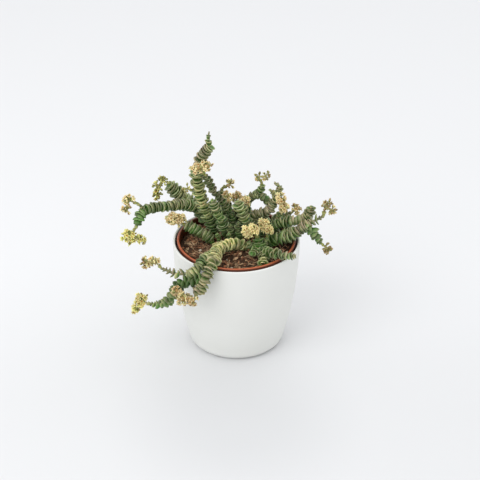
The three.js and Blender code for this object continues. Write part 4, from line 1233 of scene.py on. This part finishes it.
# From which stem tip each head grows, its clusters as (centre, half sizes), how many of its florets
# are open (0 to 1), and its look as (lemon, brown, green). A loose head is a bunch of florets with
# no dense middle. brownTop makes what faces up browner.
heads = {
    "head_tall_side": {"from": (-44, 15, 162), "loose": True, "open": 0, "look": (0.4, 0.6, 0.7),
                       "clusters": [((-49, 14, 165), (3.4, 3.2, 3.2))]},
    "head_slim_open": {"from": (-30, 6, 184), "open": 0.7, "look": (0, 0.55, 0.05),
                       "clusters": [((-37, 2, 194), (5.4, 4.4, 4.6)),
                                    ((-29, 2, 196), (5, 4.2, 4.2))]},
    "head_slim_back": {"from": (-15, 41, 150), "loose": True, "open": 0.1, "look": (0, 0.8, 0.5),
                       "clusters": [((-6, 37, 158), (4, 4, 4))]},
    "head_back_left": {"from": (-6, 35, 135), "open": 0.75, "look": (0, 0.4, 0), "brownTop": 0.35,
                       "clusters": [((-10, 29, 146), (5.4, 4.6, 7))]},
    "head_back_middle": {"from": (1, 37, 133), "open": 0.45, "look": (0, 0.75, 0),
                         "clusters": [((0, 34, 145), (3.6, 3.6, 5.6))]},
    "head_back_right": {"from": (9, 33, 131), "open": 0.75, "look": (0, 0.4, 0),
                        "clusters": [((8, 30, 142), (5, 4.4, 4.4))]},
    "head_arched": {"from": (26, 35, 159), "loose": True, "open": 0.05, "look": (0.2, 0.8, 0.7),
                    "clusters": [((22, 35, 167), (3.6, 3.4, 3.4)),
                                 ((30, 34, 168), (3.4, 3.4, 3.4))]},
    "head_right_column": {"from": (46, 25, 131), "open": 0.85, "look": (0.05, 0.45, 0.03),
                          "clusters": [((47, 16, 142), (4.4, 4.2, 5)),
                                       ((44, 16, 151), (4.6, 4.4, 5.2))]},
    "head_right_small": {"from": (55, 26, 130), "open": 0.4, "look": (0, 0.6, 0), "brownTop": 0.8,
                         "clusters": [((60, 23, 136), (4.4, 4, 6.6))]},
    "head_far_right": {"from": (86, -3, 143), "loose": True, "open": 0.05, "look": (0.2, 0.9, 0.3),
                       "brownTop": 0.3,
                       "clusters": [((87, -3, 154), (3.4, 3.4, 3.6)),
                                    ((90, -3, 157), (3.6, 3.4, 3.4)),
                                    ((94, -3, 149), (3.4, 3.4, 3.8))]},
    "head_right_low": {"from": (84, -11, 117), "loose": True, "open": 0, "look": (0.1, 1, 0.3),
                       "clusters": [((89, -12, 112), (3.4, 3.4, 3.6)),
                                    ((91, -12, 109), (3.4, 3.4, 3.6))]},
    "head_front_left": {"from": (21, -17, 127), "open": 0.97, "look": (0.3, 0.1, 0.03),
                        "clusters": [((17, -23, 138), (5, 5, 5.4)),
                                     ((10.5, -23, 137), (4.8, 5, 5.8))]},
    "head_front_right": {"from": (30, -11, 123), "open": 0.92, "look": (0.3, 0.32, 0),
                         "clusters": [((31, -11, 132), (5.2, 4.8, 5)),
                                      ((27.5, -11, 138), (5.6, 5, 5.2))]},
    "head_arch_side": {"from": (-72, -55, 115), "loose": True, "open": 0.4, "look": (0.2, 0.6, 0.1),
                       "clusters": [((-78, -54, 122), (4.2, 3.8, 4.8)),
                                    ((-87, -53, 120), (3.8, 3.6, 5.4))]},
    "head_arch_end": {"from": (-37, -72, 98), "open": 0.5, "look": (0, 0.9, 0.15),
                      "clusters": [((-42, -78, 93), (5, 4.6, 4.8)), ((-51, -78, 95), (5.8, 5, 5.6)),
                                   ((-57, -76, 103), (4, 3.4, 4))]},
    "head_arch_low": {"from": (-85, -47, 68), "loose": True, "open": 0.55, "look": (0.7, 0.25, 0.2),
                      "clusters": [((-94, -44, 70), (6.6, 6, 6)),
                                   ((-100, -44, 61), (3.4, 3.2, 4))]},
    "head_left_low": {"from": (-51, 9, 126), "open": 0.8, "look": (0.05, 0.45, 0.05),
                      "clusters": [((-64, 9, 134), (6.6, 5.4, 6)), ((-57, 9, 133), (5.6, 5.2, 6))]},
    "head_left_hanging": {"from": (-98, -5, 134), "loose": True, "open": 0.35,
                          "look": (1, 0.1, 0.35),
                          "clusters": [((-106, -8, 123), (7.4, 6, 7.4)),
                                       ((-94, -8, 119), (3.6, 3.4, 4.4))]},
    "head_left_upper": {"from": (-95, 0, 154), "loose": True, "open": 0.35, "look": (0.1, 0.7, 0.1),
                        "clusters": [((-105, -1, 160), (5.4, 4.4, 4.2)),
                                     ((-109, -2, 151), (3.6, 3.4, 4.8))]},
    "head_left_back": {"from": (-67, 37, 158), "loose": True, "open": 0.15, "look": (1, 0.4, 0.8),
                       "clusters": [((-74, 35, 163), (4.4, 4, 4.8)),
                                    ((-79, 35, 156), (4.8, 4.2, 5)),
                                    ((-80, 34, 147), (3.8, 3.6, 5))]},
}


# Shells from one profile grid, set on places and directions. shape is (rows, columns, 3) in
# (across, aside, axis), as a share of each one's size.
def placed(shape, centre, axis, spin, size):
    across, aside = rolled(*crossDirections(axis), spin[:, None])
    basis = np.stack([across, aside, axis], 1)
    posed = np.einsum("rck,nkj->nrcj", shape, basis)
    return centre[:, None, None] + posed * size[:, None, None, None]


# An open flower: its reach follows a star of five bulging points by the row's share. The petals
# rise from the cup by (reach - droop reach cubed), so they bend down again at their tips. The
# second result is how much of a petal each row is.
def flowerShape():
    petals = flower["petals"]
    star = np.tile(flower["star"], petals)
    keel = np.tile(flower["keel"], petals)
    angle = roundAngles(len(star))
    waist, share, level, lift, petal = np.array(flower["rows"]).T[:, :, None]
    reach = waist + share * star
    bend = lift * (reach - flower["droop"] * reach**3)
    rise = level + bend + np.where(share > 0.5, keel, 0)
    return np.stack([reach * np.cos(angle), reach * np.sin(angle), rise], -1), petal[:, 0]


# A closed bud: a pointed egg with five low ribs
def budShape():
    ribs = np.tile(flower["budRibs"], flower["petals"])
    angle = roundAngles(len(ribs))
    reach, level = np.array(flower["budRows"]).T[:, :, None]
    return np.stack([reach * ribs * np.cos(angle), reach * ribs * np.sin(angle),
                     level + 0 * angle], -1)


# Directions spread evenly over a ball: turned by the golden angle, level by level
def ballDirections(count):
    number = np.arange(count) + 0.5
    level = 1 - 2 * number / count
    angle = number * turn * (3 - math.sqrt(5)) / 2
    flat = np.sqrt(1 - level**2)
    return np.stack([flat * np.cos(angle), flat * np.sin(angle), level], -1)


# Stalks from one place to many: closed tubes, each along a parabola that bends outwards
def stalksTo(root, ends, outward, thick):
    rings, columns = flower["stalkRings"], flower["stalkColumns"]
    t = np.linspace(0, 1, len(rings))[None, :, None]
    middle = (root + ends) / 2 - outward * flower["stalkBend"]
    spine = (1 - t) ** 2 * root + 2 * t * (1 - t) * middle[:, None] + t**2 * ends[:, None]
    ring = ringsOn(*crossDirections(unit(ends - root)), roundAngles(columns))
    walls = spine[:, :, None] + ring[:, None] * (thick * np.array(rings))[None, :, None, None]
    poles = [np.repeat(spine[:, k][:, None, None], columns, 2) for k in (0, -1)]
    return np.concatenate([poles[0], walls, poles[1]], 1)


# Open flowers: green below, petals browner with age, and a golden-brown middle
def addFlowers(piece, rng, place, faces, spin, brown, head):
    shape, petal = flowerShape()
    count = len(place)
    size = flower["size"] * rng.uniform(*flower["sizes"], count)
    age = np.clip(brown * rng.uniform(*flower["age"], count), 0, 1)
    lemon = head["look"][0] * rng.uniform(*flower["lemon"], count)
    everywhere, more = flower["petalBrown"]
    cup, green = flower["cup"]
    throat, golden = flower["throat"]
    tone = np.zeros((count, *shape.shape[:2], 4))
    tone[..., 0] = lemon[:, None, None]
    tone[..., 1] = age[:, None, None] * (everywhere + more * petal)[None, :, None]
    tone[:, :cup, :, 2] = green
    tone[:, throat:, :, 3] = 1
    tone[:, throat - 1, :, 3] = golden
    shade = rng.uniform(*flower["shade"], count)
    addShells(piece, placed(shape, place, faces, spin, size), tone, shade[:, None, None])


# Buds: some ripe and brown, the rest pale
def addBuds(piece, rng, place, faces, spin, brown, head):
    lemon, _, green = head["look"]
    shape = budShape()
    count = len(place)
    size = flower["bud"] * rng.uniform(*flower["budSizes"], count)
    isRipe = rng.uniform(0, 1, count) < brown
    ripe, unripe = [rng.uniform(*flower[key], count) for key in ("ripe", "unripe")]
    cup, cupGreen = flower["budCup"]
    tone = np.zeros((count, *shape.shape[:2], 4))
    tone[..., 0] = lemon * flower["budLemon"]
    tone[..., 1] = np.where(isRipe, ripe, unripe)[:, None, None]
    tone[:, :cup, :, 2] = cupGreen
    tone[:, cup:, :, 2] = green * rng.uniform(*flower["budGreen"], (count, 1, 1))
    shade = rng.uniform(*flower["budShade"], count)
    addShells(piece, placed(shape, place, faces, spin, size), tone, shade[:, None, None])


# The dense middle: short buds and stalks grown together, golden-brown, and partly painted shade
# that shows in the gaps between the florets
def addCore(piece, rng, centre, half, green):
    rows, columns = flower["coreRows"], flower["coreColumns"]
    bumps = rng.uniform(*flower["coreBumps"], (rows, columns, 1))
    core = centre + ballShape(rows, columns) * bumps * half * flower["core"]
    tone = np.array(flower["coreTone"])
    tone[2] += flower["coreGreen"] * green
    addShells(piece, core[None], tone, flower["coreShade"])


# Florets stand in groups over the whole cluster except its side towards the stem. Each leans out of
# its group's middle.
def addCluster(piece, rng, root, cluster, head):
    centre, half = [np.array(value, float) for value in cluster]
    surface = 4 * math.pi * np.mean([half[0] * half[1], half[0] * half[2], half[1] * half[2]])
    isLoose = head.get("loose", False)
    groups = max(flower["leastGroups"], round(surface / flower["groupArea"][isLoose]))
    spread = rng.normal(0, flower["groupSpread"], (groups, 3))
    directions = unit(ballDirections(groups) + spread)
    inward = unit(root - centre)
    directions = directions[directions @ inward < flower["bareSide"]]
    members = flower["members"]
    count = len(directions) * members
    middle = directions * half * rng.uniform(*flower["depths"], len(directions))[:, None]
    middle = np.repeat(middle, members, 0)
    outward = unit(np.repeat(directions / half, members, 0))
    aside = unit(rng.normal(0, 1, (count, 3)) + flower["outward"] * outward)
    place = centre + middle + aside * rng.uniform(*flower["spread"], (count, 1))
    tilt = rng.normal(0, flower["tilt"], (count, 3))
    faces = unit(outward + flower["turnedAway"] * aside + tilt)
    isOpen = rng.uniform(0, 1, count) < head["open"]
    brown = np.clip(head["look"][1] + head.get("brownTop", 0) * outward[:, 2], 0, 1)
    spin = rng.uniform(0, turn, count)
    for add, chosen in ((addFlowers, isOpen), (addBuds, ~isOpen)):
        if chosen.any():
            add(piece, rng, place[chosen], faces[chosen], spin[chosen], brown[chosen], head)
    if not isLoose:
        addCore(piece, rng, centre, half, head["look"][2])
    # stalks of the florets
    start = centre + inward * flower["start"] * half.min()
    threads = stalksTo(start, place - faces * flower["threadEnd"], faces, flower["thread"])
    addShells(piece, threads, flower["threadTone"], flower["threadShade"])
    return start


# Where the line from a place to a cluster's middle enters the cluster
def centreEdge(base, cluster):
    centre, half = [np.array(value, float) for value in cluster]
    way = base - centre
    return centre + way / np.linalg.norm(way / half)


# Small leaf pairs on the stalk of a head
def addBracts(piece, rng, base, end, head):
    length = np.linalg.norm(end - base)
    count = max(1, int(length / flower["bractPitch"]))
    part = (np.arange(count) + 0.5) / count
    centre = base + (end - base) * part[:, None]
    axis = np.repeat(unit(end - base)[None], count, 0)
    wobble = rng.normal(0, flower["bractWobble"], count)
    spin = (np.arange(count) * math.pi / 2 + wobble)[:, None]
    across, aside = rolled(*crossDirections(axis), spin)
    largest, less = flower["bractSizes"]
    size = flower["bract"] * (largest - less * part)
    pitch = np.full(count, flower["bractPitch"])
    grid = leafPairs(rng, centre, axis, across, aside, size, pitch, flower["bractFlank"])
    shade = rng.uniform(*flower["bractShade"], count)
    tone = np.array(flower["bractTone"]) * (1, head["look"][1], 1, 1)
    addShells(piece, grid, tone, shade[:, None, None])


# The first cluster grows from the stem's tip, and the others from the middle of the first
def buildHeads():
    tissue = tonedMaterial("petal and bud", flower["material"])
    for number, (node, head) in enumerate(heads.items()):
        rng = np.random.default_rng((flower["seed"], number))
        piece = newPiece()
        base = np.array(head["from"], float)
        for order, cluster in enumerate(head["clusters"]):
            start = addCluster(piece, rng, base, cluster, head)
            stalk = stalksTo(base, start[None], unit(start - base)[None], flower["stalk"])
            addShells(piece, stalk, flower["stalkTone"], flower["stalkShade"])
            if order == 0:
                addBracts(piece, rng, base, centreEdge(base, cluster), head)
                base = np.array(cluster[0], float)
        finishPiece(piece, node + "_flowers", tissue, node)
    print("flower heads:", len(heads))


buildCamera()
buildLight()
buildFloor()
buildCoverPot()
buildNurseryPot()
buildMix()
buildPlants()
buildHeads()
